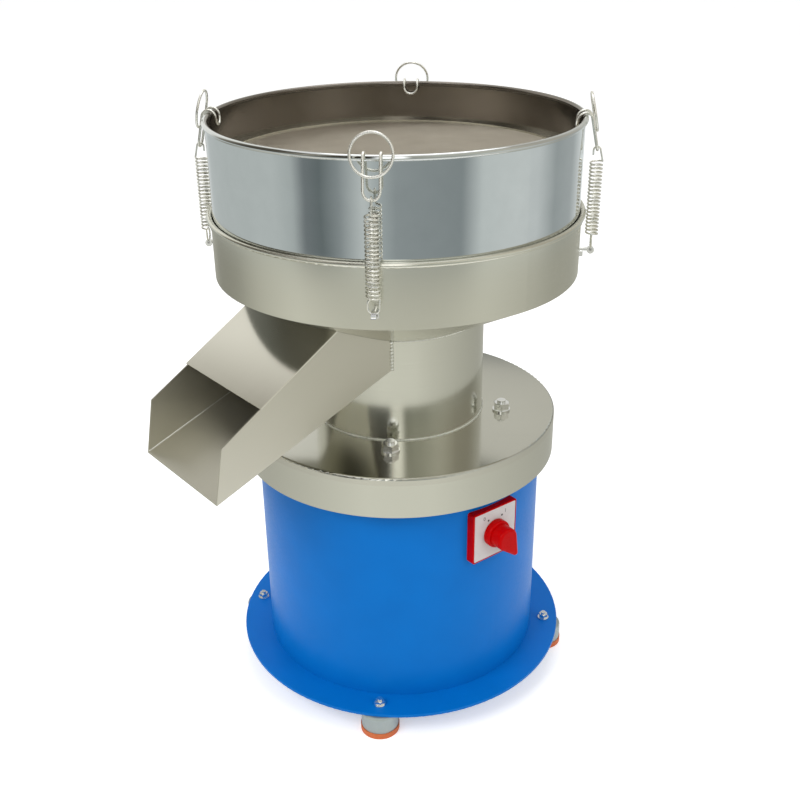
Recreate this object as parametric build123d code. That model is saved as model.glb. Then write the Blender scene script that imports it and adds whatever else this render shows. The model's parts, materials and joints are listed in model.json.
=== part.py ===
from build123d import *
import math
import os

# Vibrating sieve. Floor at Z 0, drum axis on Z, discharge chute toward -Y, switch toward +X.

# Positions around the axis
CORNERS = {"front_right": 315, "back_right": 45, "back_left": 135, "front_left": 225}
GLAND_ANGLE = 90
BASE_TURN = -2.2
SPRING_SPREAD = 41.4

# Clearances
WELD_GAP = 0.05
SEAT_GAP = 0.3
RUNNING_CLEARANCE = 0.05
HOLE_CLEARANCE = 0.3
SPRING_CLEARANCE = 0.5
SIEVE_CLEARANCE = 0.8

# Feet
PAD_RADIUS = 22.8
PAD_HEIGHT = 7.0
PAD_BOSS_HEIGHT = 13.0
CUP_RADIUS = 21.8
CUP_WALL = 2.9
CUP_HEIGHT = 22.0
CUP_TOP = 3.0
CUP_ROUND = 4.0
FOOT_INSET = 17.5
FOOT_STUD_RADIUS = 3.0
FOOT_STUD_DISC_RADIUS = 10.0
FOOT_STUD_DISC_HEIGHT = 4.0
FOOT_STUD_PROUD = 2.5
FOOT_WASHER_RADIUS = 7.0
FOOT_WASHER_THICKNESS = 1.6
FOOT_NUT_FLATS = 10.0
FOOT_NUT_HEIGHT = 5.0

# Base plate and drum
BASE_RADIUS = 205.0
BASE_THICKNESS = 4.0
BASE_EDGE_ROUND = 0.8
DRUM_RADIUS = 170.0
DRUM_WALL = 2.0
DRUM_HEIGHT = 287.0

# Spring brackets and support springs
BRACKET_TOP = 240.0
BRACKET_THICKNESS = 4.0
BRACKET_WIDTH = 56.0
BRACKET_INNER_RADIUS = 106.0
GUSSET_DROP = 56.0
GUSSET_THICKNESS = 4.0
SPRING_CIRCLE_RADIUS = 124.0
SUPPORT_COIL_RADIUS = 14.0
SUPPORT_WIRE_RADIUS = 2.0
SUPPORT_TURNS = 6
SEAT_RADIUS = 18.5
SEAT_THICKNESS = 3.0
SEAT_BOSS_RADIUS = 11.5
SEAT_BOSS_HEIGHT = 10.0

# Cover
COVER_RADIUS = 186.0
COVER_TOP = 337.3
COVER_SHEET = 1.5
COVER_SKIRT = 48.0
COVER_EDGE_ROUND = 2.5
COVER_CENTRE_HOLE = 30.0
COVER_STUD_RADIUS = 5.0
COVER_STUD_PROUD = 3.0
COVER_WASHER_RADIUS = 10.5
COVER_WASHER_THICKNESS = 2.0
COVER_NUT_FLATS = 17.0
COVER_NUT_HEIGHT = 8.0

# Neck and pan
NECK_RADIUS = 100.0
NECK_WALL = 1.5
NECK_TOP = 457.5
NECK_BRIDGE = 5.0
PAN_BOTTOM = 511.9
PAN_RADIUS = 203.0
PAN_SHEET = 1.2
PAN_WALL_TOP = 577.0
BEAD_RADIUS = 3.0
BEAD_OFFSET = 1.4
HEM_DEPTH = 7.0
HEM_THICKNESS = 1.6
LEDGE_TOP = 558.0
LEDGE_THICKNESS = 2.0
LEDGE_WIDTH = 11.8

# Sieve
SIEVE_WALL = 1.0
SIEVE_RIM = 677.0
SIEVE_RIM_BEAD = 3.0
GASKET_BASE = 4.0
GASKET_LIP = 7.0
GASKET_WIDTH = 6.0
MESH_HEIGHT = 632.4
MESH_THICKNESS = 0.8
MESH_RING_WIDTH = 11.0
MESH_RING_LOWER = 2.4
MESH_RING_UPPER = 2.0

# Chute, distances measured outward from the axis
CHUTE_WIDTH = 147.0
CHUTE_SHEET = 1.5
CHUTE_SLOPE = 20.0
CHUTE_TOP_SLOPE = 30.7
CHUTE_LIP_OUT = 294.6
CHUTE_LIP_HEIGHT = 341.7
CHUTE_MOUTH_LEAN = 11.5
CHUTE_MOUTH_RISE = 60.7
HOOD_SETBACK = 46.9
HOOD_OVERHANG = 1.0

# Spring clips
CLIP_WIRE_RADIUS = 1.4
CLIP_HALF_WIDTH = 8.0
CLIP_TOP_BEND = 7.5
CLIP_INNER_LEAN = 6.0
CLIP_INNER_LEG = 1.0
CLIP_LOW_HEIGHT = 642.0
RING_COIL_RADIUS = 19.65
RING_WIRE_RADIUS = 1.35
RING_DROP = 0.4
TENSION_COIL_RADIUS = 6.5
TENSION_WIRE_RADIUS = 1.0
TENSION_TURNS = 22.25
TENSION_BOTTOM = 545.5
TENSION_TOP = 630.0
TENSION_LOOP_RADIUS = 3.8
TENSION_BEND = 2.0
TENSION_LOOP_TAIL = 5.0
CLIP_STUD_HEIGHT = 528.6
CLIP_STUD_RADIUS = 2.5
CLIP_STUD_HEAD_RADIUS = 4.2
CLIP_STUD_HEAD = 3.0
CLIP_NUT_FLATS = 8.0
CLIP_NUT_HEIGHT = 4.0

# Switch
SWITCH_DROP = 78.0
BEZEL_SIZE = 64.0
BEZEL_FRONT = 177.5
BEZEL_CORNER = 3.0
BEZEL_EDGE = 1.2
LABEL_SIZE = 60.0
LABEL_THICKNESS = 0.8
LABEL_POCKET = 1.0
SWITCH_BODY_SIZE = 46.0
SWITCH_BODY_BACK = 118.0
SWITCH_BODY_FRONT = 164.0
SWITCH_BUSH_RADIUS = 12.0
SWITCH_SCREW_SPACING = 36.0
SWITCH_SCREW_RADIUS = 2.0
SWITCH_SCREW_HEAD = 3.5
SWITCH_SCREW_HEAD_HEIGHT = 2.4
SWITCH_SCREW_GRIP = 12.0
KNOB_RADIUS = 16.5
KNOB_BASE = 8.0
KNOB_ROUND = 2.5
KNOB_GRIP_RADIUS = 13.5
KNOB_GRIP_HEIGHT = 15.0
KNOB_GRIP_ROUND = 3.0
KNOB_TIP_RADIUS = 3.6
KNOB_TIP_OUT = 25.0
KNOB_TAIL_ANGLE = 150.0
KNOB_SHAFT_RADIUS = 4.0
KNOB_SHAFT_LENGTH = 34.0

# Motor
MOTOR_RADIUS = 62.0
MOTOR_WALL = 6.0
MOTOR_LENGTH = 150.0
MOTOR_FLANGE_RADIUS = 75.0
MOTOR_FLANGE = 8.0
MOTOR_CAP = 8.0
MOTOR_BOSS_RADIUS = 34.0
MOTOR_BOLT_CIRCLE = 66.0
MOTOR_BOLT_RADIUS = 4.0
MOTOR_BOLT_FLATS = 13.0
MOTOR_BOLT_HEAD = 5.3
BEARING_OUTER = 21.0
BEARING_WIDTH = 12.0
BEARING_SHOULDER = 2.0
SHAFT_RADIUS = 10.0
SHAFT_HOLE = 12.0
SHAFT_BOTTOM = 132.0
SHAFT_TOP = 388.0
STATOR_BORE = 32.3
STATOR_LENGTH = 80.0
ROTOR_RADIUS = 31.5
WINDING_INNER = 37.0
WINDING_OUTER = 50.0
WINDING_LENGTH = 13.0
WEIGHT_RADIUS = 46.0
WEIGHT_HUB = 20.0
WEIGHT_THICKNESS = 24.0
WEIGHT_UPPER_BOTTOM = 353.0
WEIGHT_LOWER_BOTTOM = 139.0
WEIGHT_LEAD = 45.0
WEIGHT_SCREW_RADIUS = 3.0
WEIGHT_SCREW_LENGTH = 11.0
TERMINAL_WIDTH = 44.0
TERMINAL_HEIGHT = 40.0
TERMINAL_OUT = 96.0
TERMINAL_BOTTOM = 228.0

# Leads and gland
LEAD_RADIUS = 3.5
LEAD_BEND = 30.0
MOTOR_LEAD_X = 86.0
MOTOR_LEAD_DROP = 40.0
MOTOR_LEAD_BEND = 20.0
SUPPLY_LEAD_X = 146.0
SUPPLY_LEAD_SWEEP = 95.0
SUPPLY_LEAD_LAST_BEND = 25.0
GLAND_HEIGHT = 75.0
GLAND_THREAD_RADIUS = 7.8
GLAND_FLATS = 22.0
GLAND_HEX = 8.0
GLAND_CAP_RADIUS = 9.0
GLAND_CAP = 14.0
GLAND_INSIDE = 16.0
GLAND_NUT = 5.0

# Heights and radii that follow from the sizes above
BASE_TOP = PAD_HEIGHT + CUP_HEIGHT + BASE_THICKNESS
BASE_BOTTOM = BASE_TOP - BASE_THICKNESS
DRUM_INNER = DRUM_RADIUS - DRUM_WALL
DRUM_TOP = BASE_TOP + DRUM_HEIGHT
FOOT_CIRCLE_RADIUS = BASE_RADIUS - FOOT_INSET
SWITCH_HEIGHT = DRUM_TOP - SWITCH_DROP
COVER_UNDER = COVER_TOP - COVER_SHEET
NECK_INNER = NECK_RADIUS - NECK_WALL
PAN_INNER = PAN_RADIUS - PAN_SHEET
BEAD_CENTRE_RADIUS = PAN_RADIUS + BEAD_OFFSET
BEAD_OUTER = BEAD_CENTRE_RADIUS + BEAD_RADIUS
LEDGE_INNER_RADIUS = PAN_INNER - LEDGE_WIDTH
SIEVE_RADIUS = PAN_INNER - SIEVE_CLEARANCE
SIEVE_INNER = SIEVE_RADIUS - SIEVE_WALL
GASKET_INNER_RADIUS = SIEVE_INNER - GASKET_WIDTH
SIEVE_BOTTOM = LEDGE_TOP + GASKET_BASE
SPRING_AXIS_RADIUS = BEAD_OUTER + TENSION_COIL_RADIUS + TENSION_WIRE_RADIUS + SPRING_CLEARANCE
CHUTE_MOUTH_OUT = CHUTE_LIP_OUT - CHUTE_MOUTH_LEAN
CHUTE_MOUTH_TOP = CHUTE_LIP_HEIGHT + CHUTE_MOUTH_RISE
HOOD_FRONT_OUT = CHUTE_MOUTH_OUT - HOOD_SETBACK
CHUTE_RISE = math.tan(math.radians(CHUTE_SLOPE))
CHUTE_TOP_RISE = math.tan(math.radians(CHUTE_TOP_SLOPE))
MOTOR_TOP = COVER_UNDER - MOTOR_FLANGE
MOTOR_BOTTOM = MOTOR_TOP - MOTOR_LENGTH
MOTOR_MIDDLE = (MOTOR_TOP + MOTOR_BOTTOM) / 2
LABEL_FRONT = BEZEL_FRONT - LABEL_POCKET + LABEL_THICKNESS

os.makedirs("parts", exist_ok=True)


def save(name, *solids):
    shape = solids[0] if len(solids) == 1 else Compound(children=list(solids))
    export_step(shape, f"parts/{name}.step")


def disc(radius, bottom, height):
    return Pos(0, 0, bottom) * Cylinder(radius, height, align=(Align.CENTER, Align.CENTER, Align.MIN))


def ring(outer, inner, bottom, height):
    return disc(outer, bottom, height) - disc(inner, bottom - 1, height + 2)


def block(x_range, y_range, z_range):
    spans = [b - a for a, b in (x_range, y_range, z_range)]
    middles = [(a + b) / 2 for a, b in (x_range, y_range, z_range)]
    return Pos(*middles) * Box(*spans)


def hex_prism(flats, bottom, height):
    outline = Plane.XY.offset(bottom) * RegularPolygon(flats / math.sqrt(3), 6)
    return extrude(outline, height)


def turned(*outlines):
    profile = outlines[0]
    for outline in outlines[1:]:
        profile = profile + outline
    return revolve(profile, Axis.Z)


def section(inner, outer, bottom, top):
    middle = Plane.XZ * Pos((inner + outer) / 2, (bottom + top) / 2)
    return middle * Rectangle(outer - inner, top - bottom)


def round_section(radius, centre_radius, height):
    return Plane.XZ * Pos(centre_radius, height) * Circle(radius)


def at_angles(shape, radius, angles):
    return [Rot(0, 0, angle) * Pos(radius, 0, 0) * shape for angle in angles]


def at_corners(shape, radius, turn=0):
    return at_angles(shape, radius, [angle + turn for angle in CORNERS.values()])


def at_springs(shape, radius):
    sides = (-SPRING_SPREAD, SPRING_SPREAD, 180 - SPRING_SPREAD, 180 + SPRING_SPREAD)
    return at_angles(shape, radius, [angle + BASE_TURN for angle in sides])


def cut_all(shape, tools):
    for tool in tools:
        shape = shape - tool
    return shape


def outward(shape):
    return Rot(0, 90, 0) * shape


class WirePath:
    """Centre line of a bent wire, laid out piece by piece from its last point and heading."""

    def __init__(self, start, heading):
        self.point = Vector(*start)
        self.heading = Vector(*heading).normalized()
        self.pieces = []

    def line(self, length):
        end = self.point + self.heading * length
        self.pieces.append((self.point, end))
        self.point = end
        return self

    def bend(self, toward, radius, degrees):
        side = Vector(*toward)
        side = (side - self.heading * side.dot(self.heading)).normalized()
        centre = self.point + side * radius
        half = math.radians(degrees / 2)
        full = math.radians(degrees)
        middle = centre - side * (radius * math.cos(half)) + self.heading * (radius * math.sin(half))
        end = centre - side * (radius * math.cos(full)) + self.heading * (radius * math.sin(full))
        self.pieces.append((self.point, middle, end))
        self.heading = (self.heading * math.cos(full) + side * math.sin(full)).normalized()
        self.point = end
        return self

    def edges(self, backward=False):
        pieces = self.pieces
        if backward:
            pieces = [tuple(reversed(piece)) for piece in reversed(pieces)]
        return [
            Edge.make_line(*piece) if len(piece) == 2 else Edge.make_three_point_arc(*piece)
            for piece in pieces
        ]


def wire_solid(edges, start, heading, radius):
    profile = Plane(origin=start, z_dir=heading) * Circle(radius)
    return sweep(profile, path=Wire(edges))


# Feet: rubber pad, steel cup, threaded stud, washer and nut
def foot_pad():
    boss_radius = CUP_RADIUS - CUP_WALL - HOLE_CLEARANCE
    return disc(PAD_RADIUS, 0, PAD_HEIGHT) + disc(boss_radius, 0, PAD_HEIGHT + PAD_BOSS_HEIGHT)


def foot_cup():
    body = disc(CUP_RADIUS, PAD_HEIGHT, CUP_HEIGHT)
    body = fillet(body.edges().group_by(Axis.Z)[-1], CUP_ROUND)
    body = body - disc(CUP_RADIUS - CUP_WALL, PAD_HEIGHT - 1, CUP_HEIGHT - CUP_TOP + 1)
    return body - disc(FOOT_STUD_RADIUS + HOLE_CLEARANCE, PAD_HEIGHT, CUP_HEIGHT + 1)


FOOT_NUT_BOTTOM = BASE_TOP + FOOT_WASHER_THICKNESS
FOOT_STUD_FOOT = BASE_BOTTOM - CUP_TOP - FOOT_STUD_DISC_HEIGHT
FOOT_STUD_TOP = FOOT_NUT_BOTTOM + FOOT_NUT_HEIGHT + FOOT_STUD_PROUD

foot_stud = disc(FOOT_STUD_DISC_RADIUS, FOOT_STUD_FOOT, FOOT_STUD_DISC_HEIGHT)
foot_stud = foot_stud + disc(FOOT_STUD_RADIUS, FOOT_STUD_FOOT, FOOT_STUD_TOP - FOOT_STUD_FOOT)
foot_washer = ring(FOOT_WASHER_RADIUS, FOOT_STUD_RADIUS + HOLE_CLEARANCE, BASE_TOP, FOOT_WASHER_THICKNESS)
foot_nut = hex_prism(FOOT_NUT_FLATS, FOOT_NUT_BOTTOM, FOOT_NUT_HEIGHT)
foot_nut = foot_nut - disc(FOOT_STUD_RADIUS + RUNNING_CLEARANCE, BASE_TOP, FOOT_STUD_TOP)

save("foot_pads", *at_corners(foot_pad(), FOOT_CIRCLE_RADIUS, BASE_TURN))
save("foot_cups", *at_corners(foot_cup(), FOOT_CIRCLE_RADIUS, BASE_TURN))
save("foot_studs", *at_corners(foot_stud, FOOT_CIRCLE_RADIUS, BASE_TURN))
save("foot_washers", *at_corners(foot_washer, FOOT_CIRCLE_RADIUS, BASE_TURN))
save("foot_nuts", *at_corners(foot_nut, FOOT_CIRCLE_RADIUS, BASE_TURN))

# Base plate and drum
stud_hole = disc(FOOT_STUD_RADIUS + HOLE_CLEARANCE, BASE_BOTTOM - 1, BASE_THICKNESS + 2)
base_plate = disc(BASE_RADIUS, BASE_BOTTOM, BASE_THICKNESS)
base_plate = fillet(base_plate.edges(), BASE_EDGE_ROUND)
save("base_plate", cut_all(base_plate, at_corners(stud_hole, FOOT_CIRCLE_RADIUS, BASE_TURN)))

screw_half = SWITCH_SCREW_SPACING / 2
SCREW_SPOTS = [(y, SWITCH_HEIGHT + z) for y in (-screw_half, screw_half) for z in (-screw_half, screw_half)]
switch_side = Rot(0, 0, BASE_TURN)
bush_hole = outward(Cylinder(SWITCH_BUSH_RADIUS + HOLE_CLEARANCE, 30))
bush_hole = switch_side * Pos(DRUM_RADIUS, 0, SWITCH_HEIGHT) * bush_hole
screw_holes = [
    switch_side * Pos(DRUM_RADIUS, y, z) * outward(Cylinder(SWITCH_SCREW_RADIUS + HOLE_CLEARANCE, 30))
    for y, z in SCREW_SPOTS
]
gland_place = Rot(0, 0, GLAND_ANGLE) * Pos(DRUM_RADIUS, 0, GLAND_HEIGHT)
gland_hole = gland_place * outward(Cylinder(GLAND_THREAD_RADIUS + HOLE_CLEARANCE, 30))
drum = ring(DRUM_RADIUS, DRUM_INNER, BASE_TOP, DRUM_HEIGHT)
save("drum_shell", cut_all(drum, [bush_hole, gland_hole] + screw_holes))

# Spring brackets on the drum wall, with a gusset under each
gusset_outline = Polyline(
    (DRUM_RADIUS, BRACKET_TOP - BRACKET_THICKNESS),
    (BRACKET_INNER_RADIUS, BRACKET_TOP - BRACKET_THICKNESS),
    (DRUM_INNER - 4, BRACKET_TOP - BRACKET_THICKNESS - GUSSET_DROP),
    (DRUM_RADIUS, BRACKET_TOP - BRACKET_THICKNESS - GUSSET_DROP),
    close=True,
)
half_width = BRACKET_WIDTH / 2
bracket = block(
    (BRACKET_INNER_RADIUS, DRUM_RADIUS),
    (-half_width, half_width),
    (BRACKET_TOP - BRACKET_THICKNESS, BRACKET_TOP),
)
bracket = bracket + extrude(Plane.XZ * make_face(gusset_outline), GUSSET_THICKNESS / 2, both=True)
bracket = bracket & disc(DRUM_INNER - WELD_GAP, BASE_TOP, DRUM_HEIGHT)
save("spring_brackets", *at_springs(bracket, 0))

# Support springs between lower and upper seats
lower_seat = disc(SEAT_RADIUS, BRACKET_TOP, SEAT_THICKNESS)
lower_seat = lower_seat + disc(SEAT_BOSS_RADIUS, BRACKET_TOP, SEAT_THICKNESS + SEAT_BOSS_HEIGHT)
upper_seat_bottom = COVER_UNDER - SEAT_THICKNESS
COVER_STUD_TOP = COVER_TOP + COVER_WASHER_THICKNESS + COVER_NUT_HEIGHT + COVER_STUD_PROUD
upper_seat = disc(SEAT_RADIUS, upper_seat_bottom, SEAT_THICKNESS)
upper_seat = upper_seat + disc(SEAT_BOSS_RADIUS, upper_seat_bottom - SEAT_BOSS_HEIGHT, SEAT_BOSS_HEIGHT)
upper_seat = upper_seat + disc(COVER_STUD_RADIUS, upper_seat_bottom, COVER_STUD_TOP - upper_seat_bottom)
save("lower_spring_seats", *at_springs(lower_seat, SPRING_CIRCLE_RADIUS))
save("upper_spring_seats", *at_springs(upper_seat, SPRING_CIRCLE_RADIUS))

coil_bottom = BRACKET_TOP + SEAT_THICKNESS + SUPPORT_WIRE_RADIUS + WELD_GAP
coil_height = upper_seat_bottom - SUPPORT_WIRE_RADIUS - WELD_GAP - coil_bottom
coil = Edge.make_helix(coil_height / SUPPORT_TURNS, coil_height, SUPPORT_COIL_RADIUS)
support_spring = wire_solid([coil], coil @ 0, coil % 0, SUPPORT_WIRE_RADIUS)
support_spring = Pos(0, 0, coil_bottom) * support_spring
save("support_springs", *at_springs(support_spring, SPRING_CIRCLE_RADIUS))

# Cover with its skirt, washers and nuts
cover = turned(
    section(COVER_CENTRE_HOLE, COVER_RADIUS, COVER_UNDER, COVER_TOP),
    section(COVER_RADIUS - COVER_SHEET, COVER_RADIUS, COVER_TOP - COVER_SKIRT, COVER_TOP),
)
cover_rim = cover.edges().filter_by(GeomType.CIRCLE).filter_by(
    lambda edge: abs(edge.radius - COVER_RADIUS) < 0.01 and edge.center().Z > COVER_UNDER
)
cover = fillet(cover_rim, COVER_EDGE_ROUND)
cover_stud_hole = disc(COVER_STUD_RADIUS + HOLE_CLEARANCE, COVER_UNDER - 1, COVER_SHEET + 2)
motor_bolt_hole = disc(MOTOR_BOLT_RADIUS + HOLE_CLEARANCE, MOTOR_TOP - 1, MOTOR_FLANGE + COVER_SHEET + 2)
cover = cut_all(cover, at_springs(cover_stud_hole, SPRING_CIRCLE_RADIUS))
cover = cut_all(cover, at_corners(motor_bolt_hole, MOTOR_BOLT_CIRCLE))
save("cover", cover)

cover_washer = ring(
    COVER_WASHER_RADIUS, COVER_STUD_RADIUS + HOLE_CLEARANCE, COVER_TOP, COVER_WASHER_THICKNESS
)
cover_nut = hex_prism(COVER_NUT_FLATS, COVER_TOP + COVER_WASHER_THICKNESS, COVER_NUT_HEIGHT)
cover_nut = chamfer(cover_nut.edges().group_by(Axis.Z)[-1], 0.8)
cover_nut = cover_nut - disc(COVER_STUD_RADIUS + RUNNING_CLEARANCE, COVER_TOP, COVER_NUT_HEIGHT * 2)
save("cover_washers", *at_springs(cover_washer, SPRING_CIRCLE_RADIUS))
save("cover_nuts", *at_springs(cover_nut, SPRING_CIRCLE_RADIUS))


# Chute: side outline in the plane of distance outward and height
def chute_floor(out):
    return CHUTE_LIP_HEIGHT + (CHUTE_LIP_OUT - out) * CHUTE_RISE


def chute_top(out):
    return CHUTE_MOUTH_TOP + (CHUTE_MOUTH_OUT - out) * CHUTE_TOP_RISE


def chute_prism(points, width):
    outline = make_face(Polyline(*points, close=True))
    return Rot(0, 0, -90) * extrude(Plane.XZ * outline, width / 2, both=True)


CHUTE_INSIDE = NECK_RADIUS / 2
CHUTE_FLOOR_LIFT = CHUTE_SHEET / math.cos(math.radians(CHUTE_SLOPE))
chute_inner_width = CHUTE_WIDTH - 2 * CHUTE_SHEET
chute_body = chute_prism(
    [
        (CHUTE_LIP_OUT, CHUTE_LIP_HEIGHT),
        (CHUTE_MOUTH_OUT, CHUTE_MOUTH_TOP),
        (CHUTE_INSIDE, chute_top(CHUTE_INSIDE)),
        (CHUTE_INSIDE, chute_floor(CHUTE_INSIDE)),
    ],
    CHUTE_WIDTH,
)
chute_space = chute_prism(
    [
        (CHUTE_LIP_OUT + 60, chute_floor(CHUTE_LIP_OUT + 60) + CHUTE_FLOOR_LIFT),
        (CHUTE_LIP_OUT + 60, PAN_BOTTOM + 60),
        (0, PAN_BOTTOM + 60),
        (0, chute_floor(0) + CHUTE_FLOOR_LIFT),
    ],
    chute_inner_width,
)
neck_outside = disc(NECK_RADIUS + WELD_GAP, COVER_TOP, PAN_BOTTOM)
above_funnel = revolve(
    Plane.XZ * make_face(
        Polyline(
            (0, NECK_TOP - WELD_GAP),
            (NECK_RADIUS, NECK_TOP - WELD_GAP),
            (PAN_RADIUS, PAN_BOTTOM - WELD_GAP),
            (CHUTE_LIP_OUT * 2, PAN_BOTTOM - WELD_GAP),
            (CHUTE_LIP_OUT * 2, PAN_BOTTOM * 2),
            (0, PAN_BOTTOM * 2),
            close=True,
        )
    ),
    Axis.Z,
)
chute_trough = ((chute_body - chute_space) - neck_outside) - above_funnel
save("chute_trough", chute_trough)

hood_lift = WELD_GAP
hood_rise = CHUTE_SHEET / math.cos(math.radians(CHUTE_TOP_SLOPE))
hood_lean = CHUTE_SHEET * math.sin(math.radians(CHUTE_TOP_SLOPE))
hood = chute_prism(
    [
        (HOOD_FRONT_OUT, chute_top(HOOD_FRONT_OUT) + hood_lift),
        (HOOD_FRONT_OUT + hood_lean, chute_top(HOOD_FRONT_OUT + hood_lean) + hood_lift + hood_rise),
        (CHUTE_INSIDE, chute_top(CHUTE_INSIDE) + hood_lift + hood_rise),
        (CHUTE_INSIDE, chute_top(CHUTE_INSIDE) + hood_lift),
    ],
    CHUTE_WIDTH + 2 * HOOD_OVERHANG,
)
save("chute_hood", (hood - neck_outside) - above_funnel)

# Neck with a window for the chute, and the inclined slide plate inside it
neck = ring(NECK_RADIUS, NECK_INNER, COVER_TOP, NECK_TOP - COVER_TOP - WELD_GAP)
window = chute_prism(
    [
        (CHUTE_LIP_OUT, chute_floor(CHUTE_LIP_OUT) + CHUTE_FLOOR_LIFT),
        (CHUTE_LIP_OUT, chute_top(CHUTE_LIP_OUT)),
        (CHUTE_INSIDE, chute_top(CHUTE_INSIDE)),
        (CHUTE_INSIDE, chute_floor(CHUTE_INSIDE) + CHUTE_FLOOR_LIFT),
    ],
    chute_inner_width,
)
window = window & disc(CHUTE_LIP_OUT * 2, 0, NECK_TOP - NECK_BRIDGE)
save("neck_tube", neck - window)

slide_low = chute_floor(NECK_RADIUS)
slide_high = NECK_TOP - NECK_BRIDGE
slide_plate = chute_prism(
    [
        (NECK_RADIUS, slide_low),
        (NECK_RADIUS, slide_low + CHUTE_FLOOR_LIFT),
        (-NECK_RADIUS, slide_high),
        (-NECK_RADIUS, slide_high - CHUTE_FLOOR_LIFT),
    ],
    2 * NECK_RADIUS,
)
save("slide_plate", slide_plate & disc(NECK_INNER - WELD_GAP, COVER_TOP, PAN_BOTTOM))

# Pan with its funnel bottom, rolled rim and the ledge that carries the sieve
clip_stud_hole = outward(disc(CLIP_STUD_RADIUS + HOLE_CLEARANCE, PAN_RADIUS - 6, 12))
clip_stud_hole = Pos(0, 0, CLIP_STUD_HEIGHT) * clip_stud_hole
funnel_rise = (PAN_BOTTOM - NECK_TOP) / (PAN_RADIUS - NECK_RADIUS)
funnel_sheet = PAN_SHEET * math.hypot(1, funnel_rise)
funnel_mouth = NECK_TOP - (NECK_RADIUS - NECK_INNER) * funnel_rise
funnel = Plane.XZ * make_face(
    Polyline(
        (NECK_INNER, funnel_mouth + NECK_WALL * funnel_rise),
        (NECK_RADIUS, NECK_TOP),
        (PAN_RADIUS, PAN_BOTTOM),
        (PAN_RADIUS, PAN_BOTTOM + funnel_sheet),
        (NECK_INNER, funnel_mouth + funnel_sheet),
        close=True,
    )
)
pan = turned(funnel, section(PAN_INNER, PAN_RADIUS, PAN_BOTTOM, PAN_WALL_TOP))
save("pan_shell", cut_all(pan, at_corners(clip_stud_hole, 0)))

rim_profile = round_section(BEAD_RADIUS, BEAD_CENTRE_RADIUS, PAN_WALL_TOP + 0.8)
rim_profile = rim_profile + section(
    PAN_RADIUS, PAN_RADIUS + HEM_THICKNESS, PAN_WALL_TOP - HEM_DEPTH, PAN_WALL_TOP
)
rim_profile = rim_profile - section(PAN_INNER - 2, PAN_RADIUS + WELD_GAP, PAN_BOTTOM, PAN_WALL_TOP + WELD_GAP)
rim_profile = rim_profile - section(PAN_INNER - 2, PAN_INNER, PAN_BOTTOM, PAN_WALL_TOP + 9)
save("pan_rim", revolve(rim_profile, Axis.Z))
save(
    "sieve_ledge",
    ring(PAN_INNER - WELD_GAP, LEDGE_INNER_RADIUS, LEDGE_TOP - LEDGE_THICKNESS, LEDGE_THICKNESS),
)

# Sieve: gasket, polished frame with rolled rim, mesh between two rings
gasket = turned(
    section(GASKET_INNER_RADIUS, PAN_INNER - SEAT_GAP, LEDGE_TOP, SIEVE_BOTTOM),
    section(GASKET_INNER_RADIUS, SIEVE_INNER - SEAT_GAP, LEDGE_TOP, SIEVE_BOTTOM + GASKET_LIP),
)
save("sieve_gasket", gasket)
sieve_frame = turned(
    section(SIEVE_INNER, SIEVE_RADIUS, SIEVE_BOTTOM, SIEVE_RIM),
    round_section(SIEVE_RIM_BEAD, SIEVE_RADIUS, SIEVE_RIM),
)
save("sieve_frame", sieve_frame)

mesh_ring_inner = SIEVE_INNER - MESH_RING_WIDTH
mesh_ring_outer = SIEVE_INNER - WELD_GAP
mesh_top = MESH_HEIGHT + MESH_THICKNESS
support_ring = ring(mesh_ring_outer, mesh_ring_inner, MESH_HEIGHT - MESH_RING_LOWER, MESH_RING_LOWER)
clamp_ring = ring(mesh_ring_outer, mesh_ring_inner, mesh_top, MESH_RING_UPPER)
save("mesh_rings", support_ring, clamp_ring)
save("sieve_mesh", disc(mesh_ring_outer, MESH_HEIGHT, MESH_THICKNESS))

# Clip studs through the pan wall, each with an outer and an inner nut
stud_inside = PAN_INNER - CLIP_NUT_HEIGHT - 1.5
stud_head = SPRING_AXIS_RADIUS + TENSION_BEND + TENSION_WIRE_RADIUS + 1.5
clip_stud = outward(disc(CLIP_STUD_RADIUS, stud_inside, stud_head - stud_inside))
clip_stud = clip_stud + outward(disc(CLIP_STUD_HEAD_RADIUS, stud_head, CLIP_STUD_HEAD))
nut_bore = disc(CLIP_STUD_RADIUS + RUNNING_CLEARANCE, stud_inside, stud_head)
nut_flat_gap = PAN_RADIUS - math.sqrt(PAN_RADIUS ** 2 - (CLIP_NUT_FLATS / math.sqrt(3)) ** 2)
outer_nut = outward(hex_prism(CLIP_NUT_FLATS, PAN_RADIUS + WELD_GAP, CLIP_NUT_HEIGHT) - nut_bore)
inner_nut_top = PAN_INNER - WELD_GAP - nut_flat_gap
inner_nut = outward(hex_prism(CLIP_NUT_FLATS, inner_nut_top - CLIP_NUT_HEIGHT, CLIP_NUT_HEIGHT) - nut_bore)
stud_level = Pos(0, 0, CLIP_STUD_HEIGHT)
save("clip_studs", *at_corners(stud_level * clip_stud, 0))
save("clip_nuts", *at_corners(stud_level * outer_nut, 0), *at_corners(stud_level * inner_nut, 0))

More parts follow.
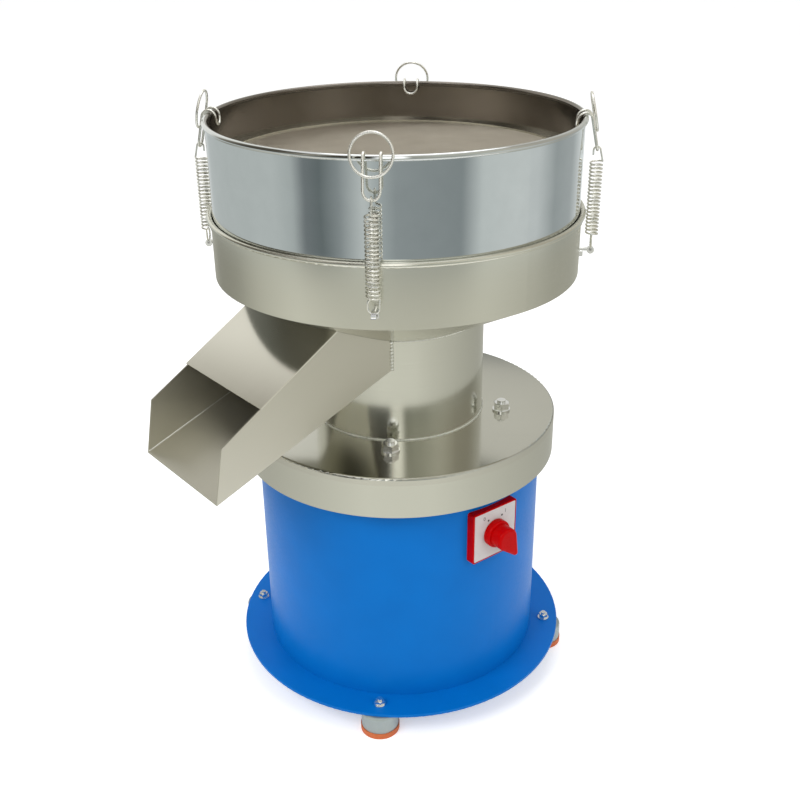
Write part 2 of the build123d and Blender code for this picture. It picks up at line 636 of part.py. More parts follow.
# Clip hook: one closed wire bent over the sieve rim, legs leaning out to the spring axis
hook_top = SIEVE_RIM + SIEVE_RIM_BEAD + SEAT_GAP + CLIP_WIRE_RADIUS
hook_centre = hook_top - CLIP_TOP_BEND
leg_out = SPRING_AXIS_RADIUS - SIEVE_RADIUS
leg_drop = hook_centre - CLIP_LOW_HEIGHT
leg_span = math.hypot(leg_out, leg_drop)
hook_lean = math.acos(CLIP_TOP_BEND / leg_span) - math.atan2(leg_drop, leg_out)
leg_length = math.sqrt(leg_span ** 2 - CLIP_TOP_BEND ** 2) - CLIP_HALF_WIDTH
leg_down = (math.sin(hook_lean), 0, -math.cos(hook_lean))
leg_normal = Vector(math.cos(hook_lean), 0, math.sin(hook_lean))
top_turn = 180 - math.degrees(hook_lean) - CLIP_INNER_LEAN
hook_start = Vector(SIEVE_RADIUS, CLIP_HALF_WIDTH, hook_centre) + leg_normal * CLIP_TOP_BEND
hook_path = WirePath(hook_start, leg_down)
hook_path.line(leg_length).bend((0, -1, 0), CLIP_HALF_WIDTH, 180).line(leg_length)
hook_path.bend(-leg_normal, CLIP_TOP_BEND, top_turn)
hook_path.line(CLIP_INNER_LEG).bend((0, 1, 0), CLIP_HALF_WIDTH, 180).line(CLIP_INNER_LEG)
hook_path.bend((1, 0, 0), CLIP_TOP_BEND, top_turn)
clip_hook = wire_solid(hook_path.edges(), hook_start, leg_down, CLIP_WIRE_RADIUS)

# Pull ring lying against the outer legs
ring_on_leg = Vector(SIEVE_RADIUS, 0, hook_centre) + leg_normal * CLIP_TOP_BEND
ring_on_leg = ring_on_leg - Vector(*leg_down) * ((hook_top - RING_DROP - ring_on_leg.Z) / math.cos(hook_lean))
ring_centre = ring_on_leg + leg_normal * (CLIP_WIRE_RADIUS + RING_WIRE_RADIUS + WELD_GAP)
pull_ring = Plane(origin=ring_centre, z_dir=leg_normal) * Torus(RING_COIL_RADIUS, RING_WIRE_RADIUS)

# Tension spring: coil with a narrow loop at each end, the lower loop around the stud
tension_height = TENSION_TOP - TENSION_BOTTOM
tension_pitch = tension_height / TENSION_TURNS
tension_slope = math.degrees(math.atan2(tension_pitch, 2 * math.pi * TENSION_COIL_RADIUS))
tension_coil = Edge.make_helix(tension_pitch, tension_height, TENSION_COIL_RADIUS)
loop_inset = (TENSION_COIL_RADIUS + TENSION_LOOP_RADIUS) / 2


def loop_path(point, heading, up, reach):
    inward = Vector(-point.X, -point.Y, 0).normalized()
    path = WirePath(point, heading).bend(inward, loop_inset, 180)
    path.bend((0, 0, up), TENSION_BEND, 90 + tension_slope)
    path.line(abs(reach - path.point.Z))
    return path.bend(inward * -1, TENSION_LOOP_RADIUS, 180).line(TENSION_LOOP_TAIL)


loop_side = TENSION_BEND + TENSION_WIRE_RADIUS
hook_sag = CLIP_HALF_WIDTH - math.sqrt(CLIP_HALF_WIDTH ** 2 - loop_side ** 2)
loop_bore = TENSION_LOOP_RADIUS - TENSION_WIRE_RADIUS
upper_hold = CLIP_LOW_HEIGHT + hook_sag + CLIP_WIRE_RADIUS + SEAT_GAP - loop_bore
lower_loop = loop_path(tension_coil @ 0, -(tension_coil % 0), -1, CLIP_STUD_HEIGHT - TENSION_BOTTOM)
upper_loop = loop_path(tension_coil @ 1, tension_coil % 1, 1, upper_hold - TENSION_BOTTOM)
tension_edges = lower_loop.edges(backward=True) + [tension_coil] + upper_loop.edges()
tension_spring = wire_solid(tension_edges, lower_loop.point, -lower_loop.heading, TENSION_WIRE_RADIUS)
tension_spring = Pos(SPRING_AXIS_RADIUS, 0, TENSION_BOTTOM) * Rot(0, 0, 90) * tension_spring

for place, angle in CORNERS.items():
    save(f"clip_hook_{place}", Rot(0, 0, angle) * clip_hook)
    save(f"pull_ring_{place}", Rot(0, 0, angle) * pull_ring)
    save(f"tension_spring_{place}", Rot(0, 0, angle) * tension_spring)

# Switch on the drum: bezel, label, cam body, screws and turning knob
switch_level = switch_side * Pos(0, 0, SWITCH_HEIGHT)
half_bezel = BEZEL_SIZE / 2
bezel = block((DRUM_INNER - 8, BEZEL_FRONT), (-half_bezel, half_bezel), (-half_bezel, half_bezel))
bezel = fillet(bezel.edges().filter_by(Axis.X), BEZEL_CORNER)
bezel = fillet(bezel.edges().group_by(Axis.X)[-1], BEZEL_EDGE)
half_pocket = LABEL_SIZE / 2 + SEAT_GAP
bezel = bezel - block(
    (BEZEL_FRONT - LABEL_POCKET, BEZEL_FRONT + 1), (-half_pocket, half_pocket), (-half_pocket, half_pocket)
)
bezel = bezel - disc(DRUM_RADIUS + WELD_GAP, -BEZEL_SIZE, 2 * BEZEL_SIZE)
bezel = bezel - outward(disc(KNOB_SHAFT_RADIUS + 2, 0, BEZEL_FRONT * 2))
pocket_floor = BEZEL_FRONT - LABEL_POCKET
screw_seat = pocket_floor - SWITCH_SCREW_HEAD_HEIGHT - 0.2
for y, z in SCREW_SPOTS:
    spot = Pos(0, y, z - SWITCH_HEIGHT)
    bezel = bezel - spot * outward(disc(SWITCH_SCREW_RADIUS + HOLE_CLEARANCE, 0, BEZEL_FRONT))
    bezel = bezel - spot * outward(disc(SWITCH_SCREW_HEAD + HOLE_CLEARANCE, screw_seat, BEZEL_FRONT))
save("switch_bezel", switch_level * bezel)

half_label = LABEL_SIZE / 2
label = block((pocket_floor, LABEL_FRONT), (-half_label, half_label), (-half_label, half_label))
label = fillet(label.edges().filter_by(Axis.X), BEZEL_CORNER / 2)
save("switch_label", switch_level * (label - outward(disc(KNOB_SHAFT_RADIUS + 1, 0, BEZEL_FRONT * 2))))

half_body = SWITCH_BODY_SIZE / 2
body = block((SWITCH_BODY_BACK, SWITCH_BODY_FRONT), (-half_body, half_body), (-half_body, half_body))
body = fillet(body.edges().filter_by(Axis.X), 3)
bush = outward(disc(SWITCH_BUSH_RADIUS, SWITCH_BODY_FRONT - 1, DRUM_RADIUS - SWITCH_BODY_FRONT))
body = body + (bush & disc(DRUM_RADIUS - WELD_GAP, -BEZEL_SIZE, 2 * BEZEL_SIZE))
shaft_bore = KNOB_SHAFT_RADIUS + RUNNING_CLEARANCE
knob_shaft_end = LABEL_FRONT + SEAT_GAP - KNOB_SHAFT_LENGTH
body = body - outward(disc(shaft_bore, knob_shaft_end - SEAT_GAP, KNOB_SHAFT_LENGTH * 2))
screw_tip = SWITCH_BODY_FRONT - SWITCH_SCREW_GRIP
for y, z in SCREW_SPOTS:
    spot = Pos(0, y, z - SWITCH_HEIGHT)
    body = body - spot * outward(disc(SWITCH_SCREW_RADIUS + RUNNING_CLEARANCE, screw_tip - 0.5, 60))
save("switch_body", switch_level * body)

screw = outward(disc(SWITCH_SCREW_RADIUS, screw_tip, screw_seat - screw_tip))
screw = screw + outward(disc(SWITCH_SCREW_HEAD, screw_seat, SWITCH_SCREW_HEAD_HEIGHT))
save("switch_screws", *[switch_side * Pos(0, y, z) * screw for y, z in SCREW_SPOTS])

knob_bottom = LABEL_FRONT + SEAT_GAP
knob = disc(KNOB_RADIUS, knob_bottom, KNOB_BASE)
knob = fillet(knob.edges().group_by(Axis.Z)[-1], KNOB_ROUND)
flank = math.acos((KNOB_GRIP_RADIUS - KNOB_TIP_RADIUS) / KNOB_TIP_OUT)
flank_across = Vector(math.cos(flank), math.sin(flank))
grip_corner = flank_across * KNOB_GRIP_RADIUS
tip_corner = flank_across * KNOB_TIP_RADIUS + Vector(KNOB_TIP_OUT, 0)
grip_outline = make_face(
    Polyline(
        (grip_corner.X, grip_corner.Y),
        (tip_corner.X, tip_corner.Y),
        (tip_corner.X, -tip_corner.Y),
        (grip_corner.X, -grip_corner.Y),
        close=True,
    )
)
grip_outline = grip_outline + Circle(KNOB_GRIP_RADIUS) + Pos(KNOB_TIP_OUT, 0) * Circle(KNOB_TIP_RADIUS)
grip_bottom = knob_bottom + KNOB_BASE - KNOB_ROUND
grip = extrude(Pos(0, 0, grip_bottom) * grip_outline, KNOB_GRIP_HEIGHT + KNOB_ROUND)
grip = fillet(grip.edges().group_by(Axis.Z)[-1], KNOB_GRIP_ROUND)
knob = knob + grip
knob = knob + disc(KNOB_SHAFT_RADIUS, knob_shaft_end, KNOB_SHAFT_LENGTH + 1)
knob = outward(Rot(0, 0, 180 - KNOB_TAIL_ANGLE) * knob)
save("switch_knob", switch_level * knob)

# Vibration motor under the cover
bearing_hole = BEARING_OUTER + RUNNING_CLEARANCE
boss_length = BEARING_WIDTH + BEARING_SHOULDER
motor_flange = disc(MOTOR_FLANGE_RADIUS, MOTOR_TOP, MOTOR_FLANGE)
motor_flange = motor_flange + disc(MOTOR_BOSS_RADIUS, MOTOR_TOP - boss_length, boss_length)
motor_flange = motor_flange - disc(SHAFT_HOLE, MOTOR_BOTTOM, MOTOR_LENGTH * 2)
motor_flange = motor_flange - disc(bearing_hole, MOTOR_TOP - boss_length - 1, BEARING_WIDTH + 1)
save("motor_flange", cut_all(motor_flange, at_corners(motor_bolt_hole, MOTOR_BOLT_CIRCLE)))

save("motor_housing", ring(MOTOR_RADIUS, MOTOR_RADIUS - MOTOR_WALL, MOTOR_BOTTOM, MOTOR_LENGTH))

motor_cap = disc(MOTOR_RADIUS, MOTOR_BOTTOM - MOTOR_CAP, MOTOR_CAP)
motor_cap = motor_cap + disc(MOTOR_BOSS_RADIUS, MOTOR_BOTTOM, boss_length)
motor_cap = motor_cap - disc(SHAFT_HOLE, MOTOR_BOTTOM - MOTOR_CAP - 1, MOTOR_LENGTH)
motor_cap = motor_cap - disc(bearing_hole, MOTOR_BOTTOM + BEARING_SHOULDER, BEARING_WIDTH + 1)
save("motor_end_cap", motor_cap)

bearing_bore = SHAFT_RADIUS + RUNNING_CLEARANCE
upper_bearing = ring(BEARING_OUTER, bearing_bore, MOTOR_TOP - boss_length, BEARING_WIDTH)
lower_bearing = ring(BEARING_OUTER, bearing_bore, MOTOR_BOTTOM + BEARING_SHOULDER, BEARING_WIDTH)
save("motor_bearings", upper_bearing, lower_bearing)

motor_bolt = hex_prism(MOTOR_BOLT_FLATS, COVER_TOP, MOTOR_BOLT_HEAD)
motor_bolt = motor_bolt + disc(MOTOR_BOLT_RADIUS, MOTOR_TOP + 0.5, COVER_TOP - MOTOR_TOP)
save("motor_bolts", *at_corners(motor_bolt, MOTOR_BOLT_CIRCLE))

stator_outer = MOTOR_RADIUS - MOTOR_WALL - WELD_GAP
stator_bottom = MOTOR_MIDDLE - STATOR_LENGTH / 2
save(
    "stator",
    ring(stator_outer, STATOR_BORE, stator_bottom, STATOR_LENGTH),
    ring(WINDING_OUTER, WINDING_INNER, stator_bottom - WINDING_LENGTH, WINDING_LENGTH),
    ring(WINDING_OUTER, WINDING_INNER, stator_bottom + STATOR_LENGTH, WINDING_LENGTH),
)

# Rotor: shaft, core and the two eccentric weights
save("motor_shaft", disc(SHAFT_RADIUS, SHAFT_BOTTOM, SHAFT_TOP - SHAFT_BOTTOM))
save("rotor_core", ring(ROTOR_RADIUS, bearing_bore, stator_bottom - 1, STATOR_LENGTH + 2))


def eccentric_weight(bottom):
    half_disc = disc(WEIGHT_RADIUS, bottom, WEIGHT_THICKNESS) - block(
        (-WEIGHT_RADIUS * 2, 0), (-WEIGHT_RADIUS * 2, WEIGHT_RADIUS * 2), (bottom - 1, bottom + 99)
    )
    weight = half_disc + disc(WEIGHT_HUB, bottom, WEIGHT_THICKNESS)
    weight = weight - disc(bearing_bore, bottom - 1, WEIGHT_THICKNESS + 2)
    middle = bottom + WEIGHT_THICKNESS / 2
    return weight - Pos(0, 0, middle) * Rot(0, -90, 0) * disc(WEIGHT_SCREW_RADIUS + RUNNING_CLEARANCE, 0, 60)


def weight_screw(bottom):
    middle = bottom + WEIGHT_THICKNESS / 2
    return Pos(0, 0, middle) * Rot(0, -90, 0) * disc(
        WEIGHT_SCREW_RADIUS, SHAFT_RADIUS + SEAT_GAP, WEIGHT_SCREW_LENGTH
    )


lead_turn = Rot(0, 0, WEIGHT_LEAD)
save("upper_weight", eccentric_weight(WEIGHT_UPPER_BOTTOM))
save("lower_weight", lead_turn * eccentric_weight(WEIGHT_LOWER_BOTTOM))
save("weight_screws", weight_screw(WEIGHT_UPPER_BOTTOM), lead_turn * weight_screw(WEIGHT_LOWER_BOTTOM))

# Terminal box on the motor, leads from the switch, cable gland at the back
half_terminal = TERMINAL_WIDTH / 2
terminal_box = block(
    (MOTOR_RADIUS - 8, TERMINAL_OUT),
    (-half_terminal, half_terminal),
    (TERMINAL_BOTTOM, TERMINAL_BOTTOM + TERMINAL_HEIGHT),
)
terminal_box = fillet(terminal_box.edges().group_by(Axis.X)[-1], 3)
save("terminal_box", terminal_box - disc(MOTOR_RADIUS + WELD_GAP, BASE_TOP, DRUM_HEIGHT))

switch_underside = SWITCH_HEIGHT - half_body
lead_start = (MOTOR_LEAD_X, 0, TERMINAL_BOTTOM - WELD_GAP)
motor_lead = WirePath(lead_start, (0, 0, -1)).line(MOTOR_LEAD_DROP).bend((1, 0, 0), MOTOR_LEAD_BEND, 180)
motor_lead.line(switch_underside - WELD_GAP - motor_lead.point.Z)
save("motor_lead", wire_solid(motor_lead.edges(), lead_start, (0, 0, -1), LEAD_RADIUS))

supply_start = (SUPPLY_LEAD_X, 0, switch_underside - WELD_GAP)
supply = WirePath(supply_start, (0, 0, -1))
supply.line(supply.point.Z - GLAND_HEIGHT - LEAD_BEND).bend((0, 1, 0), LEAD_BEND, 90)
supply.bend((-1, 0, 0), SUPPLY_LEAD_SWEEP, 90)
supply.line(supply.point.X - SUPPLY_LEAD_LAST_BEND).bend((0, 1, 0), SUPPLY_LEAD_LAST_BEND, 90)
supply.line(DRUM_RADIUS + GLAND_HEX + GLAND_CAP - supply.point.Y)
save("supply_lead", wire_solid(supply.edges(), supply_start, (0, 0, -1), LEAD_RADIUS))

gland = disc(GLAND_THREAD_RADIUS, -GLAND_INSIDE, GLAND_INSIDE + 1)
gland = gland + hex_prism(GLAND_FLATS, WELD_GAP, GLAND_HEX)
gland_cap = disc(GLAND_CAP_RADIUS, GLAND_HEX, GLAND_CAP)
gland = gland + fillet(gland_cap.edges().group_by(Axis.Z)[-1], 3)
gland_bore = disc(LEAD_RADIUS + RUNNING_CLEARANCE, -GLAND_INSIDE - 1, 60)
nut_corner = GLAND_FLATS / math.sqrt(3)
gland_nut_top = math.sqrt(DRUM_INNER ** 2 - nut_corner ** 2) - DRUM_RADIUS - WELD_GAP
gland_nut = hex_prism(GLAND_FLATS, gland_nut_top - GLAND_NUT, GLAND_NUT)
gland_nut = gland_nut - disc(GLAND_THREAD_RADIUS + RUNNING_CLEARANCE, -60, 120)
save("cable_gland", gland_place * outward(gland - gland_bore), gland_place * outward(gland_nut))
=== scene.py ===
import json
import math

import bmesh
import bpy
from mathutils import Matrix, Vector


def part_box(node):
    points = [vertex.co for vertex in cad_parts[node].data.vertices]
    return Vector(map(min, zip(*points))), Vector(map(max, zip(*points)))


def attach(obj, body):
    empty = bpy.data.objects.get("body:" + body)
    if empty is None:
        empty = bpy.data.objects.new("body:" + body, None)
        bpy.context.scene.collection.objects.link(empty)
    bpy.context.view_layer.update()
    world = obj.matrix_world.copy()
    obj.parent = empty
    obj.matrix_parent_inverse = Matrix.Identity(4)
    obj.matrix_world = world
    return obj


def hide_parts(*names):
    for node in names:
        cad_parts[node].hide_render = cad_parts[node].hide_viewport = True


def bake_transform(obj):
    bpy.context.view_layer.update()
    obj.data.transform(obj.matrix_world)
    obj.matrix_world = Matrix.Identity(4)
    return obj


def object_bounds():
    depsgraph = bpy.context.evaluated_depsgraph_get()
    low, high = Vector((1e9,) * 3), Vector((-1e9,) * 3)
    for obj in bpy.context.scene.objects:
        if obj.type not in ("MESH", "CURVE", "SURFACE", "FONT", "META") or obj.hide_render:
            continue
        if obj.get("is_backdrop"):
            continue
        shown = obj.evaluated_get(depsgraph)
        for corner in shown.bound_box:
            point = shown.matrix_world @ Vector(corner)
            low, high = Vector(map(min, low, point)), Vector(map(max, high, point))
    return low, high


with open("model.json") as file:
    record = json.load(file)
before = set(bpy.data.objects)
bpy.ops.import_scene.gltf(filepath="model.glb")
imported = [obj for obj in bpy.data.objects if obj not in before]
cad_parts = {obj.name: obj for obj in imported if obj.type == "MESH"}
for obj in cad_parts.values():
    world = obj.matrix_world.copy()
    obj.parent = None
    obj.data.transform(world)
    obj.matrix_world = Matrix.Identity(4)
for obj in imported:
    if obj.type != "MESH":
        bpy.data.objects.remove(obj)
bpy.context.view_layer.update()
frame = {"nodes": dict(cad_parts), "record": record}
nodes = frame["nodes"]
scene = bpy.context.scene
scene.view_settings.view_transform = "Standard"

# Sizes are in mm unless a comment says metres; Blender counts in metres
MM = 0.001
# Degrees round the axis: the clips, the base's turn against them, the cover's nuts to each side of the switch
CORNERS = {"front_right": -45, "back_right": 45, "back_left": 135, "front_left": 225}
BASE_TURN = -2.2
SPRING_SPREAD = 41.4
# Edges that bend less than this are shaded smooth, in degrees
SOFT_EDGE = 40
EYE_EDGE = 30
# Points closer than this are merged, in metres
MERGE_DISTANCE = 1e-6


def linear(hex_colour):
    """An sRGB hex value as a linear colour with alpha."""
    value = hex_colour.lstrip("#")
    channels = [int(value[i:i + 2], 16) / 255 for i in (0, 2, 4)]
    bent = [c / 12.92 if c <= 0.04045 else ((c + 0.055) / 1.055) ** 2.4 for c in channels]
    return (*bent, 1.0)


def put(tree, kind, sockets=None, **settings):
    """Adds one node with its settings; sockets holds values or the outputs to link."""
    node = tree.nodes.new(kind)
    for key, value in settings.items():
        setattr(node, key, value)
    for key, value in (sockets or {}).items():
        if isinstance(value, bpy.types.NodeSocket):
            tree.links.new(value, node.inputs[key])
        else:
            node.inputs[key].default_value = value
    return node


def new_material(name):
    """An empty material; returns it with its node tree and the Object coordinates."""
    material = bpy.data.materials.new(name)
    material.use_nodes = True
    material.node_tree.nodes.clear()
    coords = put(material.node_tree, "ShaderNodeTexCoord").outputs["Object"]
    return material, material.node_tree, coords


def per_metre(millimetres):
    """Noise scale whose cells are that many millimetres."""
    return 1000 / millimetres


# Most of a noise's values lie between these two
NOISE_REACH = {"From Min": 0.3, "From Max": 0.7}
# Share of the grain that is left where the clouds are thinnest
GRAIN_BASE = 0.12
# The border of a sheet's other colour is this soft sideways, in mm
OTHER_FADE = 25
# Soft clouds in a sheet's finish are this wide, in mm
CLOUD_CELLS = 120
# Soft mottling is this many times wider than a surface's fine texture
MOTTLE_CELLS = 14


def brushed(name, dark, light, grain, turn, roughness, bump, other=None):
    """Sheet steel with grain: noise cells of grain = (x, y, z) mm, turned about Z by turn degrees.

    Below the height in mm that other gives, and left of its X, the sheet has its colour instead.
    """
    material, tree, coords = new_material(name)
    turned = put(tree, "ShaderNodeMapping", {
        "Vector": coords, "Rotation": (0, 0, math.radians(turn)), "Scale": tuple(g * MM for g in grain),
    }, vector_type="TEXTURE")
    lines = put(tree, "ShaderNodeTexNoise", {
        "Vector": turned.outputs["Vector"], "Scale": 1.0, "Detail": 3.0, "Roughness": 0.6})
    clouds = put(tree, "ShaderNodeTexNoise", {
        "Vector": coords, "Scale": per_metre(CLOUD_CELLS), "Detail": 2.0})
    both = put(tree, "ShaderNodeMath", {
        0: lines.outputs["Fac"], 1: clouds.outputs["Fac"], 2: GRAIN_BASE}, operation="MULTIPLY_ADD")
    colour = put(tree, "ShaderNodeMix", {
        0: both.outputs[0], 6: linear(dark), 7: linear(light)}, data_type="RGBA")
    if other:
        shade, level, beside = other
        spot = put(tree, "ShaderNodeSeparateXYZ", {"Vector": coords})
        below = put(tree, "ShaderNodeMapRange", {
            "Value": spot.outputs["Z"], "From Min": level * MM, "From Max": (level - 1) * MM})
        left = put(tree, "ShaderNodeMapRange", {
            "Value": spot.outputs["X"], "From Min": beside * MM, "From Max": (beside - OTHER_FADE) * MM})
        where = put(tree, "ShaderNodeMath", {
            0: below.outputs["Result"], 1: left.outputs["Result"]}, operation="MULTIPLY")
        colour = put(tree, "ShaderNodeMix", {
            0: where.outputs[0], 6: colour.outputs[2], 7: linear(shade)}, data_type="RGBA")
    gloss = put(tree, "ShaderNodeMapRange", {
        "Value": lines.outputs["Fac"], **NOISE_REACH, "To Min": roughness[0], "To Max": roughness[1]})
    relief = put(tree, "ShaderNodeBump", {"Height": lines.outputs["Fac"], "Distance": bump * MM})
    shader = put(tree, "ShaderNodeBsdfPrincipled", {
        "Base Color": colour.outputs[2], "Roughness": gloss.outputs["Result"],
        "Normal": relief.outputs["Normal"], "Metallic": 1.0})
    put(tree, "ShaderNodeOutputMaterial", {"Surface": shader.outputs[0]})
    return material


def speckled(name, dark, light, cell, roughness, bump, metallic=0.0, specular=0.5):
    """A moulded, cast or painted surface: soft mottling and a bump of one cell size in mm."""
    material, tree, coords = new_material(name)
    mottle = put(tree, "ShaderNodeTexNoise", {
        "Vector": coords, "Scale": per_metre(cell * MOTTLE_CELLS), "Detail": 3.0})
    fine = put(tree, "ShaderNodeTexNoise", {"Vector": coords, "Scale": per_metre(cell), "Detail": 2.0})
    colour = put(tree, "ShaderNodeMix", {
        0: mottle.outputs["Fac"], 6: linear(dark), 7: linear(light)}, data_type="RGBA")
    gloss = put(tree, "ShaderNodeMapRange", {
        "Value": fine.outputs["Fac"], **NOISE_REACH, "To Min": roughness[0], "To Max": roughness[1]})
    relief = put(tree, "ShaderNodeBump", {"Height": fine.outputs["Fac"], "Distance": bump * MM})
    shader = put(tree, "ShaderNodeBsdfPrincipled", {
        "Base Color": colour.outputs[2], "Roughness": gloss.outputs["Result"],
        "Normal": relief.outputs["Normal"], "Metallic": metallic, "Specular IOR Level": specular})
    put(tree, "ShaderNodeOutputMaterial", {"Surface": shader.outputs[0]})
    return material


# Baked enamel on sheet steel: even blue, soft gloss, faint orange peel 3 mm across
enamel = speckled(
    "blue_baked_enamel", "006cc0", "0075cc", cell=3.0, roughness=(0.34, 0.42), bump=0.010, specular=0.10)

# Stainless sheet, rolled round: lines run with the sheet, so lights stretch up and down the wall.
# The lines are drawn 0.8 mm wide, coarser than the real polishing, so that they show.
# Under the pan, over the chute, painted shade darkens the sheet up to this X, so that the hood mirrors it
# dark.
PAN_BOTTOM = 511.9
PAINTED_SHADE_EDGE = 85
pan_steel = brushed(
    "rolled_satin_stainless", "d5d4c7", "e0dfd3", grain=(160, 160, 0.8), turn=0,
    roughness=(0.23, 0.26), bump=0.0015, other=("76756c", PAN_BOTTOM, PAINTED_SHADE_EDGE))

# Neck tube: the same stainless, buffed smoother, lines 0.8 mm wide
neck_steel = brushed(
    "buffed_tube_stainless", "c6c6bb", "d8d8ce", grain=(120, 120, 0.8), turn=0,
    roughness=(0.14, 0.18), bump=0.002)

# Cover: sheet with straight mill grain on its lid, lines 0.9 mm wide; the skirt below has one even colour
SKIRT_TOP = 329.0
SKIRT_EDGE = 400
LID_GRAIN_TURN = 51
lid_steel = brushed(
    "straight_grain_stainless", "c3c2b8", "d8d7cd", grain=(140, 0.9, 0.9), turn=LID_GRAIN_TURN,
    roughness=(0.11, 0.17), bump=0.002, other=("cecec4", SKIRT_TOP, SKIRT_EDGE))

# Chute: cold rolled stainless left as bent and welded, pale and matt, lines 0.9 mm wide; smoother on the hood
chute_steel = brushed(
    "cold_rolled_stainless", "c6c3b6", "d6d3c6", grain=(0.9, 160, 60), turn=0,
    roughness=(0.34, 0.42), bump=0.006)
hood_steel = brushed(
    "bright_rolled_stainless", "d6d3c7", "e6e3d8", grain=(0.9, 160, 60), turn=0,
    roughness=(0.13, 0.18), bump=0.003)

# Sieve wall: mirror polished stainless without lines, slightly wavy over 70 mm and cloudy over 25 mm
WAVE_CELLS = 70
WAVE_DEPTH = 0.5
HAZE_CELLS = 25
# Inside, the same wall is darker, browner and duller; its two faces lie 1 mm apart
WALL_MIDDLE = 200.5
WALL_BLEND = 0.1
mirror, mirror_tree, mirror_at = new_material("mirror_polished_stainless")
waves = put(mirror_tree, "ShaderNodeTexNoise", {
    "Vector": mirror_at, "Scale": per_metre(WAVE_CELLS), "Detail": 1.0})
haze = put(mirror_tree, "ShaderNodeTexNoise", {
    "Vector": mirror_at, "Scale": per_metre(HAZE_CELLS), "Detail": 4.0})
wavy = put(mirror_tree, "ShaderNodeBump", {"Height": waves.outputs["Fac"], "Distance": WAVE_DEPTH * MM})
along = put(mirror_tree, "ShaderNodeSeparateXYZ", {"Vector": mirror_at})
level_with = put(mirror_tree, "ShaderNodeCombineXYZ", {"X": along.outputs["X"], "Y": along.outputs["Y"]})
from_axis = put(mirror_tree, "ShaderNodeVectorMath", {0: level_with.outputs[0]}, operation="LENGTH")
outside = put(mirror_tree, "ShaderNodeMapRange", {
    "Value": from_axis.outputs["Value"], "From Min": (WALL_MIDDLE - WALL_BLEND) * MM,
    "From Max": (WALL_MIDDLE + WALL_BLEND) * MM})
faces = {}
for face, dark, light, roughness in (
        ("inner_face", "777169", "88827a", (0.16, 0.26)), ("polished", "cfd2d0", "dadddb", (0.045, 0.075))):
    colour = put(mirror_tree, "ShaderNodeMix", {
        0: haze.outputs["Fac"], 6: linear(dark), 7: linear(light)}, data_type="RGBA")
    gloss = put(mirror_tree, "ShaderNodeMapRange", {
        "Value": haze.outputs["Fac"], **NOISE_REACH, "To Min": roughness[0], "To Max": roughness[1]})
    faces[face] = (colour.outputs[2], gloss.outputs["Result"])
wall_colour = put(mirror_tree, "ShaderNodeMix", {
    0: outside.outputs["Result"], 6: faces["inner_face"][0], 7: faces["polished"][0]}, data_type="RGBA")
wall_gloss = put(mirror_tree, "ShaderNodeMix", {
    0: outside.outputs["Result"], 2: faces["inner_face"][1], 3: faces["polished"][1]}, data_type="FLOAT")
mirror_shader = put(mirror_tree, "ShaderNodeBsdfPrincipled", {
    "Base Color": wall_colour.outputs[2], "Roughness": wall_gloss.outputs[0],
    "Normal": wavy.outputs["Normal"], "Metallic": 1.0})
put(mirror_tree, "ShaderNodeOutputMaterial", {"Surface": mirror_shader.outputs[0]})

# Drawn stainless wire, smooth and bright, drawing marks about 1 mm apart
wire_steel = speckled(
    "drawn_stainless_wire", "e6e5dc", "fbfaf4", cell=1.2, roughness=(0.22, 0.32), bump=0.004, metallic=1.0)

# Woven stainless wire of the sieve, slightly dulled by use over spots of 2 mm
mesh_steel = speckled(
    "woven_stainless_wire", "c6beb0", "dcd5c8", cell=2.0, roughness=(0.28, 0.40), bump=0.004, metallic=1.0)

# Bright zinc plate on nuts, studs, washers and eye bolts, cloudy over 1.5 mm
zinc = speckled(
    "bright_zinc_plate", "e4e5e4", "fafaf8", cell=1.5, roughness=(0.15, 0.21), bump=0.0006, metallic=1.0)

# Dull zinc plate of the foot cups, grey and cloudy over 1.5 mm
dull_zinc = speckled(
    "dull_zinc_plate", "98a19f", "aeb6b4", cell=1.5, roughness=(0.45, 0.58), bump=0.004, metallic=0.8)

# Orange rubber of the feet, moulded, slightly dusty, texture of 1 mm
orange = speckled(
    "orange_moulded_rubber", "c85c28", "de7840", cell=1.0, roughness=(0.55, 0.70), bump=0.03)

# White silicone of the sieve gasket, soft texture of 1.5 mm
silicone = speckled(
    "white_silicone", "dfddd6", "ecebe6", cell=1.5, roughness=(0.42, 0.52), bump=0.02)

# Red plastic of the switch, moulded and glossy, texture of 0.8 mm
red = speckled(
    "red_moulded_plastic", "b40002", "c80003", cell=0.8, roughness=(0.26, 0.34), bump=0.006, specular=0.06)

# Printed plate of the switch, pale grey lacquer, texture of 0.6 mm
label = speckled(
    "grey_lacquered_plate", "c9c5c3", "d6d3d1", cell=0.6, roughness=(0.34, 0.42), bump=0.003)

# Black thermoplastic of the switch body and terminal box, eroded texture of 0.5 mm
black = speckled(
    "black_moulded_plastic", "131313", "1f1f20", cell=0.5, roughness=(0.42, 0.52), bump=0.02)

# Black rubber, matt, texture of 0.8 mm
black_rubber = speckled(
    "black_rubber", "101011", "1c1c1d", cell=0.8, roughness=(0.60, 0.72), bump=0.02)

# Sand cast aluminium of the motor, dull, with grains of 1 mm
aluminium = speckled(
    "sand_cast_aluminium", "8b8d8e", "a6a8a8", cell=1.0, roughness=(0.48, 0.62), bump=0.06, metallic=1.0)

# Black screen print on the switch plate, grain of 0.4 mm
ink = speckled(
    "black_screen_ink", "1b1a1a", "262525", cell=0.4, roughness=(0.50, 0.60), bump=0.004)

# Weld beads, wire brushed bright, and the chute's folds, whose bright colour is a painted highlight: the same
# stainless, texture of 1 mm
weld_and_fold_highlight = speckled(
    "brushed_weld_and_fold_highlight", "e6e5dc", "fafaf4", cell=1.0, roughness=(0.28, 0.38), bump=0.01, metallic=1.0)

# Cut steel of the eccentric weights and the rotor, oiled and dark, cutting marks of 1.5 mm
dark_steel = speckled(
    "oiled_cut_steel", "4c4b49", "6a6966", cell=1.5, roughness=(0.36, 0.48), bump=0.02, metallic=1.0)

